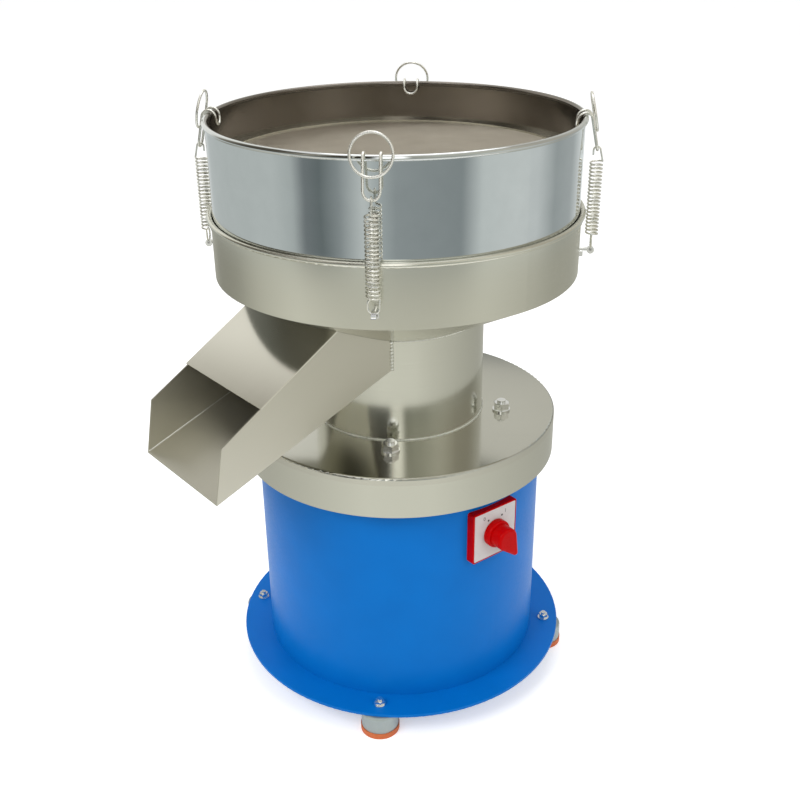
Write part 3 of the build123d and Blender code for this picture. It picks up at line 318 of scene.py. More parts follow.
# Turned steel of the shaft and the bearings, lines 0.3 mm wide
turned_steel = brushed(
    "turned_steel", "a9a9a7", "c4c4c1", grain=(40, 40, 0.3), turn=0,
    roughness=(0.18, 0.28), bump=0.004)

BY_SLOT = {
    "blue_paint": enamel, "satin_steel": pan_steel, "mirror_steel": mirror, "mesh_steel": mesh_steel,
    "wire_steel": wire_steel, "bright_zinc": zinc, "orange_rubber": orange, "white_silicone": silicone,
    "red_plastic": red, "grey_label": label, "black_plastic": black, "black_rubber": black_rubber,
    "cast_aluminium": aluminium, "dark_steel": dark_steel, "turned_steel": turned_steel,
}
BY_NODE = {
    "cover": lid_steel, "neck_tube": neck_steel, "chute_trough": chute_steel, "chute_hood": hood_steel,
    "slide_plate": chute_steel, "foot_cups": dull_zinc,
}

slot_of = {part["node"]: part["material_slot"] for part in frame["record"]["subparts"]}
for name, piece in nodes.items():
    material = BY_NODE.get(name) or BY_SLOT[slot_of[name]]
    piece.data.materials.clear()
    piece.data.materials.append(material)


def linked(name, mesh, material):
    """A piece at the origin with one material."""
    piece = bpy.data.objects.new(name, mesh)
    scene.collection.objects.link(piece)
    mesh.materials.clear()
    mesh.materials.append(material)
    return piece


def smooth_by_angle(mesh, degrees):
    """Merges double points and shades smooth, with edges sharper than that left crisp."""
    form = bmesh.new()
    form.from_mesh(mesh)
    bmesh.ops.remove_doubles(form, verts=form.verts, dist=MERGE_DISTANCE)
    for face in form.faces:
        face.smooth = True
    for edge in form.edges:
        edge.smooth = len(edge.link_faces) == 2 and edge.calc_face_angle(0) < math.radians(degrees)
    form.to_mesh(mesh)
    form.free()


def soft_copy(node, name):
    """A merged copy of a CAD node's mesh, shaded smooth, with the node hidden."""
    mesh = nodes[node].data.copy()
    mesh.name = name
    smooth_by_angle(mesh, SOFT_EDGE)
    piece = linked(name, mesh, nodes[node].data.materials[0])
    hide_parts(node)
    return piece


# Clip springs stretch between their eye and the lifted hook: a long round loop below that faces outward,
# the coil, and a narrow hook above that passes over the clip's wire. Sizes in mm.
COIL_RADIUS = 6.5
COIL_WIRE = 1.0
COIL_TURNS = 20.25
COIL_SPAN = (549.5, 630.0)
LOOP_RADIUS = 5.6
LOOP_SPAN = (539.5, 543.4)
LOOP_OPENING = 60
HOOK_RADIUS = 3.8
HOOK_LEVEL = 641.5
HOOK_TAIL = 5.0
STEPS_A_TURN = 20
WIRE_ROUNDING = 2


def arc(radius, level, begin, finish, point):
    """Points of an arc in an upright plane; point(a, b) places the sideways and upward offsets."""
    steps = max(2, round(abs(finish - begin) / 360 * STEPS_A_TURN))
    angles = [math.radians(begin + (finish - begin) * step / steps) for step in range(steps + 1)]
    return [point(radius * math.cos(a), level + radius * math.sin(a)) for a in angles]


def clip_spring_line():
    """Centre line of a clip spring, with X outward from its own axis and Y along the wall."""
    line = arc(LOOP_RADIUS, LOOP_SPAN[1], LOOP_OPENING, 180, lambda s, z: (0, s, z))
    line += arc(LOOP_RADIUS, LOOP_SPAN[0], 180, 360, lambda s, z: (0, s, z))
    line.append((0, LOOP_RADIUS, LOOP_SPAN[1]))
    steps = round(COIL_TURNS * STEPS_A_TURN)
    for step in range(steps + 1):
        turn = 2 * math.pi * COIL_TURNS * step / steps
        level = COIL_SPAN[0] + (COIL_SPAN[1] - COIL_SPAN[0]) * step / steps
        line.append((COIL_RADIUS * math.sin(turn), COIL_RADIUS * math.cos(turn), level))
    line += arc(HOOK_RADIUS, HOOK_LEVEL, 0, 180, lambda s, z: (s, 0, z))
    line.append((-HOOK_RADIUS, 0, HOOK_LEVEL - HOOK_TAIL))
    return [Vector(point) * MM for point in line]


def frozen(curve):
    """The plain mesh that a curve makes; the curve itself goes."""
    holder = bpy.data.objects.new(curve.name, curve)
    scene.collection.objects.link(holder)
    mesh = bpy.data.meshes.new_from_object(holder.evaluated_get(bpy.context.evaluated_depsgraph_get()))
    bpy.data.objects.remove(holder)
    bpy.data.curves.remove(curve)
    return mesh


def wire_mesh(name, line, radius):
    """A round wire along a line of points, as a smooth mesh."""
    curve = bpy.data.curves.new(name, "CURVE")
    curve.dimensions = "3D"
    curve.bevel_depth = radius
    curve.bevel_resolution = WIRE_ROUNDING
    curve.use_fill_caps = True
    spline = curve.splines.new("POLY")
    spline.points.add(len(line) - 1)
    for knot, point in zip(spline.points, line):
        knot.co = (*point, 1)
    mesh = frozen(curve)
    mesh.name = name
    smooth_by_angle(mesh, SOFT_EDGE)
    return mesh


# All four stand equally far from the axis
for corner, degrees in CORNERS.items():
    low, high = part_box("tension_spring_" + corner)
    middle = Vector(((low[0] + high[0]) / 2, (low[1] + high[1]) / 2, 0))
    spring_axis = middle.length
    place = Matrix.Rotation(math.radians(degrees), 4, "Z") @ Matrix.Translation((spring_axis, 0, 0))
    name = "stretching_spring_" + corner
    line = [place @ point for point in clip_spring_line()]
    spring = linked(name, wire_mesh(name, line, COIL_WIRE * MM), wire_steel)
    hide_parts("tension_spring_" + corner)
    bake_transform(spring)

# Support springs give with the vibration, and the motor lead flexes between switch and motor; here both are
# smooth merged copies at rest
low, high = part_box("support_springs")
spring = soft_copy("support_springs", "giving_springs")
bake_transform(spring)
low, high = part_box("motor_lead")
lead = soft_copy("motor_lead", "flexing_motor_lead")
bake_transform(lead)


# Inputs of a tree that are no plain number
SOCKET_KINDS = {"Count": "NodeSocketInt", "Start": "NodeSocketVector", "End": "NodeSocketVector"}


def new_tree(name, sizes):
    """A Geometry Nodes tree with a geometry output and named inputs; returns it with those inputs."""
    tree = bpy.data.node_groups.new(name, "GeometryNodeTree")
    tree.interface.new_socket("Geometry", in_out="OUTPUT", socket_type="NodeSocketGeometry")
    for size in sizes:
        kind = SOCKET_KINDS.get(size, "NodeSocketFloat")
        tree.interface.new_socket(size, in_out="INPUT", socket_type=kind)
    return tree, put(tree, "NodeGroupInput").outputs


def close_tree(tree, geometry, material):
    """Realises the instances, sets the material and joins the output."""
    real = put(tree, "GeometryNodeRealizeInstances", {"Geometry": geometry})
    dressed = put(tree, "GeometryNodeSetMaterial", {"Geometry": real.outputs[0], "Material": material})
    put(tree, "NodeGroupOutput", {"Geometry": dressed.outputs[0]})


def grown(tree, values, name, material):
    """Runs a tree with its input values and returns the plain mesh piece."""
    seed_mesh = bpy.data.meshes.new(name + "_seed")
    seed = bpy.data.objects.new(name + "_seed", seed_mesh)
    scene.collection.objects.link(seed)
    modifier = seed.modifiers.new("grow", "NODES")
    modifier.node_group = tree
    for item in tree.interface.items_tree:
        if item.in_out == "INPUT":
            modifier[item.identifier] = values[item.name]
    graph = bpy.context.evaluated_depsgraph_get()
    mesh = bpy.data.meshes.new_from_object(seed.evaluated_get(graph))
    seed.modifiers.remove(modifier)
    bpy.data.objects.remove(seed)
    bpy.data.meshes.remove(seed_mesh)
    mesh.name = name
    return linked(name, mesh, material)


# Woven wire cloth: two layers of straight wires cut to the round frame.
# The pitch of 1.9 mm is coarser than flour cloth, so that single wires can show.
MESH_PITCH = 1.9 * MM
MESH_WIRE = 0.62 * MM
MESH_WIRE_SIDES = 6
MESH_EDGE = 0.4 * MM
cloth, sizes = new_tree("woven_wire_cloth", ["Count", "Pitch", "Wire", "Radius", "Level"])
spaces = put(cloth, "ShaderNodeMath", {0: sizes["Count"], 1: 1.0}, operation="SUBTRACT")
first = put(cloth, "ShaderNodeMath", {0: spaces.outputs[0], 1: -0.5}, operation="MULTIPLY")
first = put(cloth, "ShaderNodeMath", {0: first.outputs[0], 1: sizes["Pitch"]}, operation="MULTIPLY")
row_start = put(cloth, "ShaderNodeCombineXYZ", {"X": first.outputs[0]})
row_step = put(cloth, "ShaderNodeCombineXYZ", {"X": sizes["Pitch"]})
row = put(cloth, "GeometryNodeMeshLine", {
    "Count": sizes["Count"], "Start Location": row_start.outputs[0], "Offset": row_step.outputs[0]})
place = put(cloth, "GeometryNodeInputPosition")
across = put(cloth, "ShaderNodeSeparateXYZ", {"Vector": place.outputs[0]})
square = put(cloth, "ShaderNodeMath", {0: across.outputs["X"], 1: across.outputs["X"]}, operation="MULTIPLY")
reach = put(cloth, "ShaderNodeMath", {0: sizes["Radius"], 1: sizes["Radius"]}, operation="MULTIPLY")
left = put(cloth, "ShaderNodeMath", {0: reach.outputs[0], 1: square.outputs[0]}, operation="SUBTRACT")
chord = put(cloth, "ShaderNodeMath", {0: left.outputs[0]}, operation="SQRT")
chord = put(cloth, "ShaderNodeMath", {0: chord.outputs[0], 1: 2.0}, operation="MULTIPLY")
length = put(cloth, "ShaderNodeCombineXYZ", {"X": 1.0, "Y": chord.outputs[0], "Z": 1.0})
core = put(cloth, "GeometryNodeCurvePrimitiveLine", {"Start": (0, -0.5, 0), "End": (0, 0.5, 0)})
half_wire = put(cloth, "ShaderNodeMath", {0: sizes["Wire"], 1: 0.5}, operation="MULTIPLY")
round_wire = put(cloth, "GeometryNodeCurvePrimitiveCircle", {
    "Resolution": MESH_WIRE_SIDES, "Radius": half_wire.outputs[0]})
wire = put(cloth, "GeometryNodeCurveToMesh", {
    "Curve": core.outputs[0], "Profile Curve": round_wire.outputs[0], "Fill Caps": True})
warp = put(cloth, "GeometryNodeInstanceOnPoints", {
    "Points": row.outputs[0], "Instance": wire.outputs[0], "Scale": length.outputs[0]})
lower_level = put(cloth, "ShaderNodeCombineXYZ", {"Z": sizes["Level"]})
warp_low = put(cloth, "GeometryNodeTransform", {
    "Geometry": warp.outputs[0], "Translation": lower_level.outputs[0]})
upper = put(cloth, "ShaderNodeMath", {0: sizes["Level"], 1: half_wire.outputs[0]}, operation="ADD")
upper_level = put(cloth, "ShaderNodeCombineXYZ", {"Z": upper.outputs[0]})
weft = put(cloth, "GeometryNodeTransform", {
    "Geometry": warp.outputs[0], "Translation": upper_level.outputs[0], "Rotation": (0, 0, math.pi / 2)})
both_ways = put(cloth, "GeometryNodeJoinGeometry", {"Geometry": warp_low.outputs[0]})
cloth.links.new(weft.outputs[0], both_ways.inputs[0])
close_tree(cloth, both_ways.outputs[0], mesh_steel)
low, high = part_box("sieve_mesh")
mesh_radius = high[0] - MESH_EDGE
wires = 2 * int(mesh_radius / MESH_PITCH) + 1
sieve_cloth = grown(cloth, {
    "Count": wires, "Pitch": MESH_PITCH, "Wire": MESH_WIRE, "Radius": mesh_radius,
    "Level": low[2] + MESH_WIRE / 2,
}, "sieve_cloth", mesh_steel)
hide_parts("sieve_mesh")
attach(sieve_cloth, "deck")


# Hex nuts, each cut from its prism by a chamfer cone and turned a little differently, in degrees.
# The cone leaves a round face and reaches past both ends, as shares of the width across flats.
CHAMFER_RUN = 1 / math.tan(math.radians(30))
CHAMFER_FACE = 0.47
CONE_OVERRUN = 0.1
CONE_SIDES = 48
FIRST_TURN = 17
NEXT_TURN = 23
NUT_RING = {"cover_nuts": 124 * MM, "foot_nuts": 187.5 * MM}
NUT_FLATS = {"cover_nuts": 17 * MM, "foot_nuts": 10 * MM}


def hex_nuts(name, node, angles, body):
    """Chamfered nuts in place of a CAD node's plain prisms, round the axis at the angles in degrees."""
    low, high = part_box(node)
    flats = NUT_FLATS[node]
    tree, sizes = new_tree(
        name + "_tree", ["Corner", "Height", "Tip", "Flare", "Reach", "Sink", "Radius", "Level"])
    prism = put(tree, "GeometryNodeMeshCylinder", {
        "Vertices": 6, "Radius": sizes["Corner"], "Depth": sizes["Height"]})
    cone = put(tree, "GeometryNodeMeshCone", {
        "Vertices": CONE_SIDES, "Radius Top": sizes["Tip"], "Radius Bottom": sizes["Flare"],
        "Depth": sizes["Reach"]})
    seat = put(tree, "ShaderNodeCombineXYZ", {"Z": sizes["Sink"]})
    cone = put(tree, "GeometryNodeTransform", {"Geometry": cone.outputs[0], "Translation": seat.outputs[0]})
    nut = put(tree, "GeometryNodeMeshBoolean", operation="INTERSECT", solver="EXACT")
    for form in (prism.outputs[0], cone.outputs[0]):
        tree.links.new(form, nut.inputs["Mesh 2"])
    out = put(tree, "ShaderNodeCombineXYZ", {"X": sizes["Radius"], "Z": sizes["Level"]})
    ring = put(tree, "GeometryNodeJoinGeometry")
    for index, angle in enumerate(angles):
        spun = put(tree, "GeometryNodeTransform", {
            "Geometry": nut.outputs[0], "Translation": out.outputs[0],
            "Rotation": (0, 0, math.radians(FIRST_TURN + NEXT_TURN * index))})
        placed = put(tree, "GeometryNodeTransform", {
            "Geometry": spun.outputs[0], "Rotation": (0, 0, math.radians(angle))})
        tree.links.new(placed.outputs[0], ring.inputs[0])
    close_tree(tree, ring.outputs[0], zinc)
    height = high[2] - low[2]
    beyond = CONE_OVERRUN * flats
    piece = grown(tree, {
        "Corner": flats / math.sqrt(3), "Height": height,
        "Tip": CHAMFER_FACE * flats - CHAMFER_RUN * beyond,
        "Flare": CHAMFER_FACE * flats + CHAMFER_RUN * (height + beyond),
        "Reach": height + 2 * beyond, "Sink": -height / 2 - beyond,
        "Radius": NUT_RING[node], "Level": low[2] + height / 2,
    }, name, zinc)
    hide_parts(node)
    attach(piece, body)


spring_sides = (-SPRING_SPREAD, SPRING_SPREAD, 180 - SPRING_SPREAD, 180 + SPRING_SPREAD)
spring_angles = [BASE_TURN + a for a in spring_sides]
foot_angles = [BASE_TURN + a for a in CORNERS.values()]
hex_nuts("lid_nuts", "cover_nuts", spring_angles, "deck")
hex_nuts("flange_nuts", "foot_nuts", foot_angles, "base")

# Eye bolts on the pan wall: a shank through the wall, and a thick eye with the spring's loop in its hole
EYE_LEVEL = 532.0
EYE_RADIUS = 4.0
EYE_WIDTH = 5.0
EYE_HOLE = 1.9
EYE_SHANK = 2.5
SHANK_FROM = 196.0
EYE_SIDES = 32
SHANK_SIDES = 24
DRILL_REACH = 4
LOOP_PLAY = 0.1
eye_tree, sizes = new_tree("eye_bolt", ["Eye", "Width", "Hole", "Drop", "Shank", "Length", "Out", "Level"])
eye = put(eye_tree, "GeometryNodeMeshCylinder", {
    "Vertices": EYE_SIDES, "Radius": sizes["Eye"], "Depth": sizes["Width"]})
shank = put(eye_tree, "GeometryNodeMeshCylinder", {
    "Vertices": SHANK_SIDES, "Radius": sizes["Shank"], "Depth": sizes["Length"]})
back_by = put(eye_tree, "ShaderNodeMath", {0: sizes["Length"], 1: -0.5}, operation="MULTIPLY")
shank_back = put(eye_tree, "ShaderNodeCombineXYZ", {"X": back_by.outputs[0]})
shank = put(eye_tree, "GeometryNodeTransform", {
    "Geometry": shank.outputs[0], "Translation": shank_back.outputs[0], "Rotation": (0, math.pi / 2, 0)})
drill = put(eye_tree, "GeometryNodeMeshCylinder", {
    "Vertices": SHANK_SIDES, "Radius": sizes["Hole"], "Depth": sizes["Eye"]})
drill = put(eye_tree, "GeometryNodeTransform", {"Geometry": drill.outputs[0], "Scale": (1, 1, DRILL_REACH)})
hole_up = put(eye_tree, "ShaderNodeCombineXYZ", {"Z": sizes["Drop"]})
laid = [put(eye_tree, "GeometryNodeTransform", {
    "Geometry": form.outputs[0], "Rotation": (math.pi / 2, 0, 0)}) for form in (eye, drill)]
drill = put(eye_tree, "GeometryNodeTransform", {
    "Geometry": laid[1].outputs[0], "Translation": hole_up.outputs[0]})
solid = put(eye_tree, "GeometryNodeMeshBoolean", operation="UNION", solver="EXACT")
for form in (laid[0], shank):
    eye_tree.links.new(form.outputs[0], solid.inputs["Mesh 2"])
bored = put(eye_tree, "GeometryNodeMeshBoolean", {
    "Mesh 1": solid.outputs[0], "Mesh 2": drill.outputs[0]}, operation="DIFFERENCE", solver="EXACT")
eye_place = put(eye_tree, "ShaderNodeCombineXYZ", {"X": sizes["Out"], "Z": sizes["Level"]})
bored = put(eye_tree, "GeometryNodeTransform", {
    "Geometry": bored.outputs[0], "Translation": eye_place.outputs[0]})
eyes = put(eye_tree, "GeometryNodeJoinGeometry")
for degrees in CORNERS.values():
    placed = put(eye_tree, "GeometryNodeTransform", {
        "Geometry": bored.outputs[0], "Rotation": (0, 0, math.radians(degrees))})
    eye_tree.links.new(placed.outputs[0], eyes.inputs[0])
close_tree(eye_tree, eyes.outputs[0], zinc)
clip_eyes = grown(eye_tree, {
    "Eye": EYE_RADIUS * MM, "Width": EYE_WIDTH * MM, "Hole": EYE_HOLE * MM,
    "Drop": (LOOP_SPAN[0] - LOOP_RADIUS + COIL_WIRE - EYE_HOLE + LOOP_PLAY - EYE_LEVEL) * MM,
    "Shank": EYE_SHANK * MM, "Length": spring_axis - SHANK_FROM * MM, "Out": spring_axis,
    "Level": EYE_LEVEL * MM,
}, "clip_eyes", zinc)
smooth_by_angle(clip_eyes.data, EYE_EDGE)
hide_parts("clip_studs")
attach(clip_eyes, "deck")

# Weld beads: lumps of uneven size with a fixed seed, run together round the neck and apart beside the chute.
# Each bead of the neck has its lump radius and its place outward and upward from the tube's edge.
WELD_SEED = 11
LUMP_SCALE = (0.82, 1.15)
RING_LUMPS = 420
FOOT_BEAD = (1.25 * MM, 0.4 * MM, 0.5 * MM)
TOP_BEAD = (1.1 * MM, 0.3 * MM, -0.2 * MM)
SIDE_LUMPS = 9
SIDE_LUMP = 2.6 * MM
SIDE_OUT = 0.6 * MM
SIDE_INSET = 1 * MM


def weld(name, sizes_in, ring):
    """A lumpy bead round the axis, or from Start to End."""
    tree, sizes = new_tree(name + "_tree", list(sizes_in))
    if ring:
        path = put(tree, "GeometryNodeMeshCircle", {"Vertices": sizes["Count"], "Radius": sizes["Radius"]})
        lift = put(tree, "ShaderNodeCombineXYZ", {"Z": sizes["Level"]})
        path = put(tree, "GeometryNodeTransform", {
            "Geometry": path.outputs[0], "Translation": lift.outputs[0]})
    else:
        path = put(tree, "GeometryNodeMeshLine", {
            "Count": sizes["Count"], "Start Location": sizes["Start"], "Offset": sizes["End"]},
            mode="END_POINTS")
    lump = put(tree, "GeometryNodeMeshIcoSphere", {"Radius": sizes["Lump"], "Subdivisions": 1})
    lump = put(tree, "GeometryNodeSetShadeSmooth", {"Geometry": lump.outputs[0]})
    uneven = put(tree, "FunctionNodeRandomValue", {
        2: LUMP_SCALE[0], 3: LUMP_SCALE[1], "Seed": WELD_SEED}, data_type="FLOAT")
    bead = put(tree, "GeometryNodeInstanceOnPoints", {
        "Points": path.outputs[0], "Instance": lump.outputs[0], "Scale": uneven.outputs[1]})
    close_tree(tree, bead.outputs[0], weld_and_fold_highlight)
    piece = grown(tree, sizes_in, name, weld_and_fold_highlight)
    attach(piece, "deck")


neck_low, neck_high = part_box("neck_tube")
neck_radius = neck_high[0]
for name, level, (lump, out, up) in (
        ("neck_foot_weld", neck_low[2], FOOT_BEAD), ("neck_top_weld", neck_high[2], TOP_BEAD)):
    weld(name, {"Count": RING_LUMPS, "Radius": neck_radius + out, "Level": level + up, "Lump": lump}, True)

# The chute's floor sheet: its slope and the Y and Z of its lip
CHUTE_RISE = math.tan(math.radians(20.0))
CHUTE_LIP = (-294.6 * MM, 341.7 * MM)
HANDS = {"left": -1, "right": 1}


def chute_floor(y):
    """Height of the chute's floor at that Y."""
    return CHUTE_LIP[1] + (y - CHUTE_LIP[0]) * CHUTE_RISE


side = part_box("chute_trough")[1][0]
back = -math.sqrt(neck_radius ** 2 - side ** 2)
for hand, sign in HANDS.items():
    weld("side_weld_" + hand, {
        "Count": SIDE_LUMPS, "Start": (sign * side, back - SIDE_OUT, chute_floor(back) + SIDE_INSET),
        "End": (sign * side, back - SIDE_OUT, neck_high[2] - SIDE_INSET), "Lump": SIDE_LUMP}, False)

# Rounded folds along the floor of the chute, from its lip nearly to the neck; their colour, lighter than the
# chute's sheet, is a painted highlight along the bend
FOLD_RADIUS = 0.9 * MM
FOLD_SIDES = 12
FOLD_INSET = 1.5 * MM
FOLD_LIFT = 1.6 * MM
FOLD_FROM_LIP = 1 * MM
FOLD_FROM_NECK = 4 * MM
fold, sizes = new_tree("chute_fold", ["Start", "End", "Radius"])
fold_line = put(fold, "GeometryNodeCurvePrimitiveLine", {"Start": sizes["Start"], "End": sizes["End"]})
fold_round = put(fold, "GeometryNodeCurvePrimitiveCircle", {
    "Resolution": FOLD_SIDES, "Radius": sizes["Radius"]})
fold_bar = put(fold, "GeometryNodeCurveToMesh", {
    "Curve": fold_line.outputs[0], "Profile Curve": fold_round.outputs[0], "Fill Caps": True})
close_tree(fold, fold_bar.outputs[0], weld_and_fold_highlight)
for hand, sign in HANDS.items():
    inside = sign * (side - FOLD_INSET)
    start_y, end_y = CHUTE_LIP[0] + FOLD_FROM_LIP, back - FOLD_FROM_NECK
    piece = grown(fold, {
        "Start": (inside, start_y, chute_floor(start_y) + FOLD_LIFT),
        "End": (inside, end_y, chute_floor(end_y) + FOLD_LIFT), "Radius": FOLD_RADIUS,
    }, "chute_fold_" + hand, weld_and_fold_highlight)
    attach(piece, "deck")

# Print on the switch plate: two dots and the numbers 0 and 1, placed across and up from the plate's middle
PLATE_FRONT = 177.3 * MM
PRINT_RAISE = 0.06 * MM
DOT_RADIUS = 1.3 * MM
DOT_SIDES = 24
DOT_ACROSS = (-10.0, 10.0)
DOT_UP = 18.5
MARK_SIZE = 6.5 * MM
MARK_ACROSS = {"0": -16.0, "1": 15.0}
MARK_UP = 20.5
label_low, label_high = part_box("switch_label")
label_middle = (label_low[2] + label_high[2]) / 2
print_form = bmesh.new()
# Turns a flat form, drawn on X and Y, to face outward along X, and then with the base
flat_to_front = Matrix(((0, 0, 1, 0), (1, 0, 0, 0), (0, 1, 0, 0), (0, 0, 0, 1)))
face_out = Matrix.Rotation(math.radians(BASE_TURN), 4, "Z") @ flat_to_front


def printed(mesh, across, up):
    """Adds a flat mesh to the print, moved over the plate in mm."""
    place = face_out @ Matrix.Translation((across * MM, label_middle + up * MM, PLATE_FRONT + PRINT_RAISE))
    mesh.transform(place)
    print_form.from_mesh(mesh)
    bpy.data.meshes.remove(mesh)


for across in DOT_ACROSS:
    dot_form = bmesh.new()
    bmesh.ops.create_circle(dot_form, cap_ends=True, segments=DOT_SIDES, radius=DOT_RADIUS)
    dot_mesh = bpy.data.meshes.new("dot")
    dot_form.to_mesh(dot_mesh)
    dot_form.free()
    printed(dot_mesh, across, DOT_UP)
for digit, across in MARK_ACROSS.items():
    curve = bpy.data.curves.new("mark", "FONT")
    curve.body = digit
    curve.size = MARK_SIZE
    curve.align_x = "CENTER"
    printed(frozen(curve), across, MARK_UP)
print_mesh = bpy.data.meshes.new("switch_print")
print_form.to_mesh(print_mesh)
print_form.free()
switch_print = linked("switch_print", print_mesh, ink)
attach(switch_print, "base")

# Camera at the photograph's place, in metres; lens and sensor in mm
CAMERA_TURN = math.radians(50.9)
CAMERA_TILT = math.radians(64.12)
CAMERA_ROLL = math.radians(-0.73)
CAMERA_OUT = 1.140
CAMERA_HEIGHT = 0.8923
CAMERA_SENSOR = 36.0
CAMERA_LENS = 47.30
CAMERA_SHIFT = 0.0019
camera_data = bpy.data.cameras.new("camera")
camera_data.sensor_width = CAMERA_SENSOR
camera_data.lens = CAMERA_LENS
camera_data.shift_x = CAMERA_SHIFT
camera = bpy.data.objects.new("camera", camera_data)
scene.collection.objects.link(camera)
camera_x = CAMERA_OUT * math.sin(CAMERA_TURN)
camera_y = -CAMERA_OUT * math.cos(CAMERA_TURN)
camera.matrix_world = (
    Matrix.Translation((camera_x, camera_y, CAMERA_HEIGHT))
    @ Matrix.Rotation(CAMERA_TURN, 4, "Z")
    @ Matrix.Rotation(CAMERA_TILT, 4, "X")
    @ Matrix.Rotation(CAMERA_ROLL, 4, "Z")
)
scene.camera = camera


def seen_rays(tree):
    """1 for rays of the camera, of reflections and through clear things, 0 for light on the object."""
    path = put(tree, "ShaderNodeLightPath").outputs
    seen = path["Is Camera Ray"]
    for kind in ("Is Glossy Ray", "Is Transmission Ray"):
        seen = put(tree, "ShaderNodeMath", {0: seen, 1: path[kind]}, operation="MAXIMUM").outputs[0]
    return seen


# White surroundings for the eye and for reflections, softer light on the object
SKY_LIGHT = 0.62
SKY_SEEN = 1.0
WHITE = (1, 1, 1, 1)
world = bpy.data.worlds.new("studio")
scene.world = world
world.use_nodes = True
sky = world.node_tree
sky.nodes.clear()
sky_lit = put(sky, "ShaderNodeBackground", {"Color": WHITE, "Strength": SKY_LIGHT})
sky_seen = put(sky, "ShaderNodeBackground", {"Color": WHITE, "Strength": SKY_SEEN})
sky_mix = put(sky, "ShaderNodeMixShader", {
    0: seen_rays(sky), 1: sky_lit.outputs[0], 2: sky_seen.outputs[0]})
put(sky, "ShaderNodeOutputWorld", {"Surface": sky_mix.outputs[0]})

# Pale matt floor, lifted towards white where it is seen; metres
FLOOR_LIFT = 0.42
FLOOR_REACH = 30.0
FLOOR_CORNERS = ((-1, -1), (1, -1), (1, 1), (-1, 1))
floor_material, floor_tree = new_material("pale_floor")[:2]
floor_lift = put(floor_tree, "ShaderNodeMath", {
    0: seen_rays(floor_tree), 1: FLOOR_LIFT}, operation="MULTIPLY")
floor_shader = put(floor_tree, "ShaderNodeBsdfPrincipled", {
    "Base Color": linear("f2f2f2"), "Roughness": 0.9, "Emission Color": WHITE,
    "Emission Strength": floor_lift.outputs[0]})
put(floor_tree, "ShaderNodeOutputMaterial", {"Surface": floor_shader.outputs[0]})
floor_mesh = bpy.data.meshes.new("floor")
floor_mesh.from_pydata([(x * FLOOR_REACH, y * FLOOR_REACH, 0) for x, y in FLOOR_CORNERS], [], [(0, 1, 2, 3)])
floor = bpy.data.objects.new("floor", floor_mesh)
scene.collection.objects.link(floor)
floor_mesh.materials.append(floor_material)
floor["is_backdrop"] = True

# Round surround that only reflections see: soft upright bands of a workshop's light and shade.
# The skirt mirrors its lowest part, the pan the next one, the polished wall the part above that, and
# the lid, the nuts and the inside of the sieve the upper part.
# Degrees are counted from the camera's side, to the right positive.
SKIRT_BANDS = [
    (-180, "c0c0b8"), (-125, "c2c2ba"), (-95, "c8c8c0"), (-60, "dadad2"), (-20, "f2f2ea"), (20, "f0f0e8"),
    (45, "e0e0d8"), (70, "d4d4cc"), (100, "c6c6be"), (125, "bcbcb4"), (180, "c0c0b8"),
]
PAN_BANDS = [
    (-180, "a8a8a0"), (-150, "c4c4bc"), (-125, "94948c"), (-100, "9c9c94"), (-78, "c8c8c0"), (-52, "e5e5de"),
    (-20, "cdcdc5"), (20, "cacac2"), (45, "d8d8d0"), (70, "c6c6be"), (94, "afafa7"), (125, "aeaea6"),
    (150, "c8c8c0"), (180, "a8a8a0"),
]
WALL_BANDS = [
    (-180, "7c8081"), (-160, "6a6d6e"), (-148, "e2e6e6"), (-132, "c4caca"), (-66, "cbd1d1"), (-54, "bcc3c3"),
    (-47, "80878a"), (-38, "717a7c"), (-28, "98a0a2"), (-16, "d4dada"), (-8, "b4bcbd"), (0, "9ea6a8"),
    (20, "98a0a2"), (33, "949c9e"), (44, "d6dcdc"), (66, "dde2e2"), (80, "d5dadb"), (96, "aab1b2"),
    (116, "b4babb"), (132, "dfe4e4"), (147, "e6eaea"), (160, "72787a"), (180, "7c8081"),
]
HIGH_BANDS = [
    (-180, "e2e2dc"), (-150, "fafaf6"), (-118, "fafaf6"), (-104, "8a867c"), (-84, "524e46"), (-60, "5c5850"),
    (-44, "9d998e"), (-30, "4c483f"), (-12, "3c3831"), (-7, "ffffff"), (3, "ffffff"),
    (8, "adada3"), (20, "c4c5bb"), (29, "c4c4ba"), (40, "c6c6bc"), (56, "c8c6bc"), (66, "c4c1b6"),
    (76, "bcb8ae"), (104, "b8b4aa"), (130, "cfcec8"), (180, "e2e2dc"),
]
# The one bright window of the upper part lies between these degrees and is brighter than white
STREAK = (-7, 3)
STREAK_GAIN = 1.75
# Radius and height of the surround's rings, and the heights over which one part passes into the next; metres
SURROUND = [(0.52, 0.0), (0.70, 0.25), (0.70, 1.6)]
SIDES = 128
PAN_FROM = (0.235, 0.25)
WALL_FROM = (0.395, 0.41)
HIGH_FROM = (0.56, 0.60)
camera_side = math.degrees(math.atan2(camera.location.y, camera.location.x))
band_material, band_tree, band_at = new_material("surround_bands")
band_turned = put(band_tree, "ShaderNodeMapping", {
    "Vector": band_at, "Rotation": (0, 0, math.radians(-camera_side))})
band_xyz = put(band_tree, "ShaderNodeSeparateXYZ", {"Vector": band_turned.outputs["Vector"]})
band_angle = put(band_tree, "ShaderNodeMath", {
    0: band_xyz.outputs["Y"], 1: band_xyz.outputs["X"]}, operation="ARCTAN2")
band_share = put(band_tree, "ShaderNodeMapRange", {
    "Value": band_angle.outputs[0], "From Min": -math.pi, "From Max": math.pi})
ramps = []
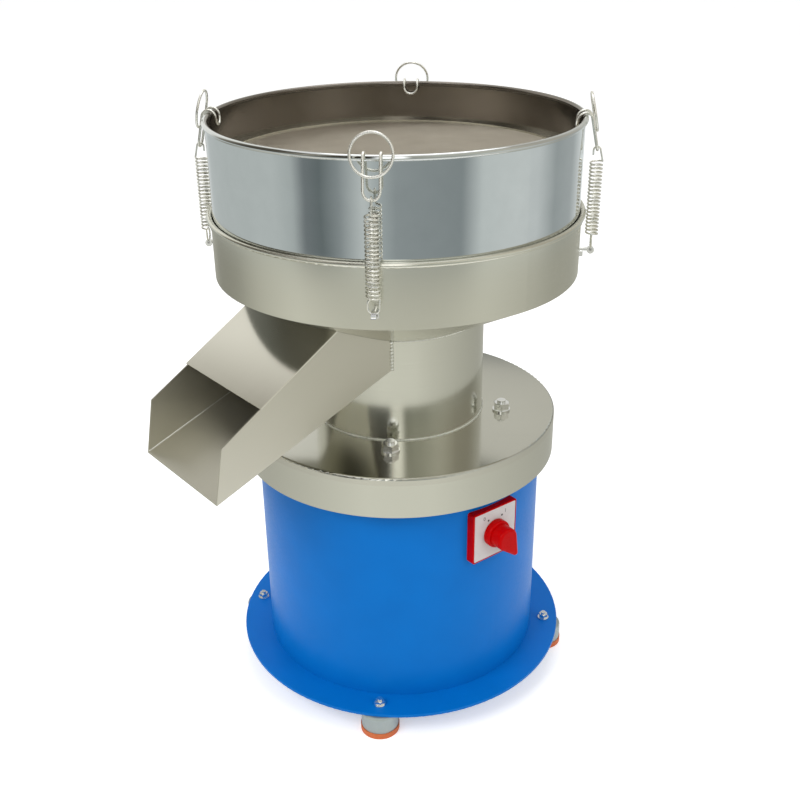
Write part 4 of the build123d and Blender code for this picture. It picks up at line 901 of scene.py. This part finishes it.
for bands in (SKIRT_BANDS, PAN_BANDS, WALL_BANDS, HIGH_BANDS):
    ramp = put(band_tree, "ShaderNodeValToRGB", {"Fac": band_share.outputs["Result"]})
    stops = ramp.color_ramp.elements
    stops.remove(stops[-1])
    for index, (degrees, colour) in enumerate(bands):
        stop = stops[0] if index == 0 else stops.new((degrees + 180) / 360)
        stop.position = (degrees + 180) / 360
        gain = STREAK_GAIN if bands is HIGH_BANDS and degrees in STREAK else 1.0
        stop.color = [channel * gain for channel in linear(colour)]
    ramps.append(ramp.outputs["Color"])
band_mix = ramps[0]
for (begins, ends), upper in zip((PAN_FROM, WALL_FROM, HIGH_FROM), ramps[1:]):
    share = put(band_tree, "ShaderNodeMapRange", {
        "Value": band_xyz.outputs["Z"], "From Min": begins, "From Max": ends})
    band_mix = put(band_tree, "ShaderNodeMix", {
        0: share.outputs["Result"], 6: band_mix, 7: upper}, data_type="RGBA").outputs[2]
band_light = put(band_tree, "ShaderNodeEmission", {"Color": band_mix})
put(band_tree, "ShaderNodeOutputMaterial", {"Surface": band_light.outputs[0]})
points = []
for out, level in SURROUND:
    for i in range(SIDES):
        angle = 2 * math.pi * i / SIDES
        points.append((out * math.cos(angle), out * math.sin(angle), level))
panels = []
for row in range(len(SURROUND) - 1):
    first = row * SIDES
    for i in range(SIDES):
        after = (i + 1) % SIDES
        panels.append((first + i, first + after, first + SIDES + after, first + SIDES + i))
surround_mesh = bpy.data.meshes.new("surround")
surround_mesh.from_pydata(points, [], panels)
surround = bpy.data.objects.new("surround", surround_mesh)
scene.collection.objects.link(surround)
surround_mesh.materials.append(band_material)
surround.visible_camera = False
surround.visible_shadow = False
surround.visible_diffuse = False
surround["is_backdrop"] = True


# Lamps aim at this height on the axis, in metres
AIM_HEIGHT = 0.4


def lamp(name, turn, out, height, size, watts):
    """A square soft box in metres, turned from the camera's side by degrees, that faces the object."""
    data = bpy.data.lights.new(name, "AREA")
    data.size = size
    data.energy = watts
    box = bpy.data.objects.new(name, data)
    scene.collection.objects.link(box)
    angle = math.radians(camera_side + turn)
    place = Vector((out * math.cos(angle), out * math.sin(angle), height))
    aim = (Vector((0, 0, AIM_HEIGHT)) - place).to_track_quat("-Z", "Y")
    box.matrix_world = Matrix.Translation(place) @ aim.to_matrix().to_4x4()


lamp("key_soft_box", turn=-48, out=2.2, height=2.3, size=1.4, watts=34)
lamp("fill_soft_box", turn=55, out=2.4, height=1.6, size=1.4, watts=14)
lamp("top_soft_box", turn=170, out=1.2, height=2.6, size=1.6, watts=16)

low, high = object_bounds()
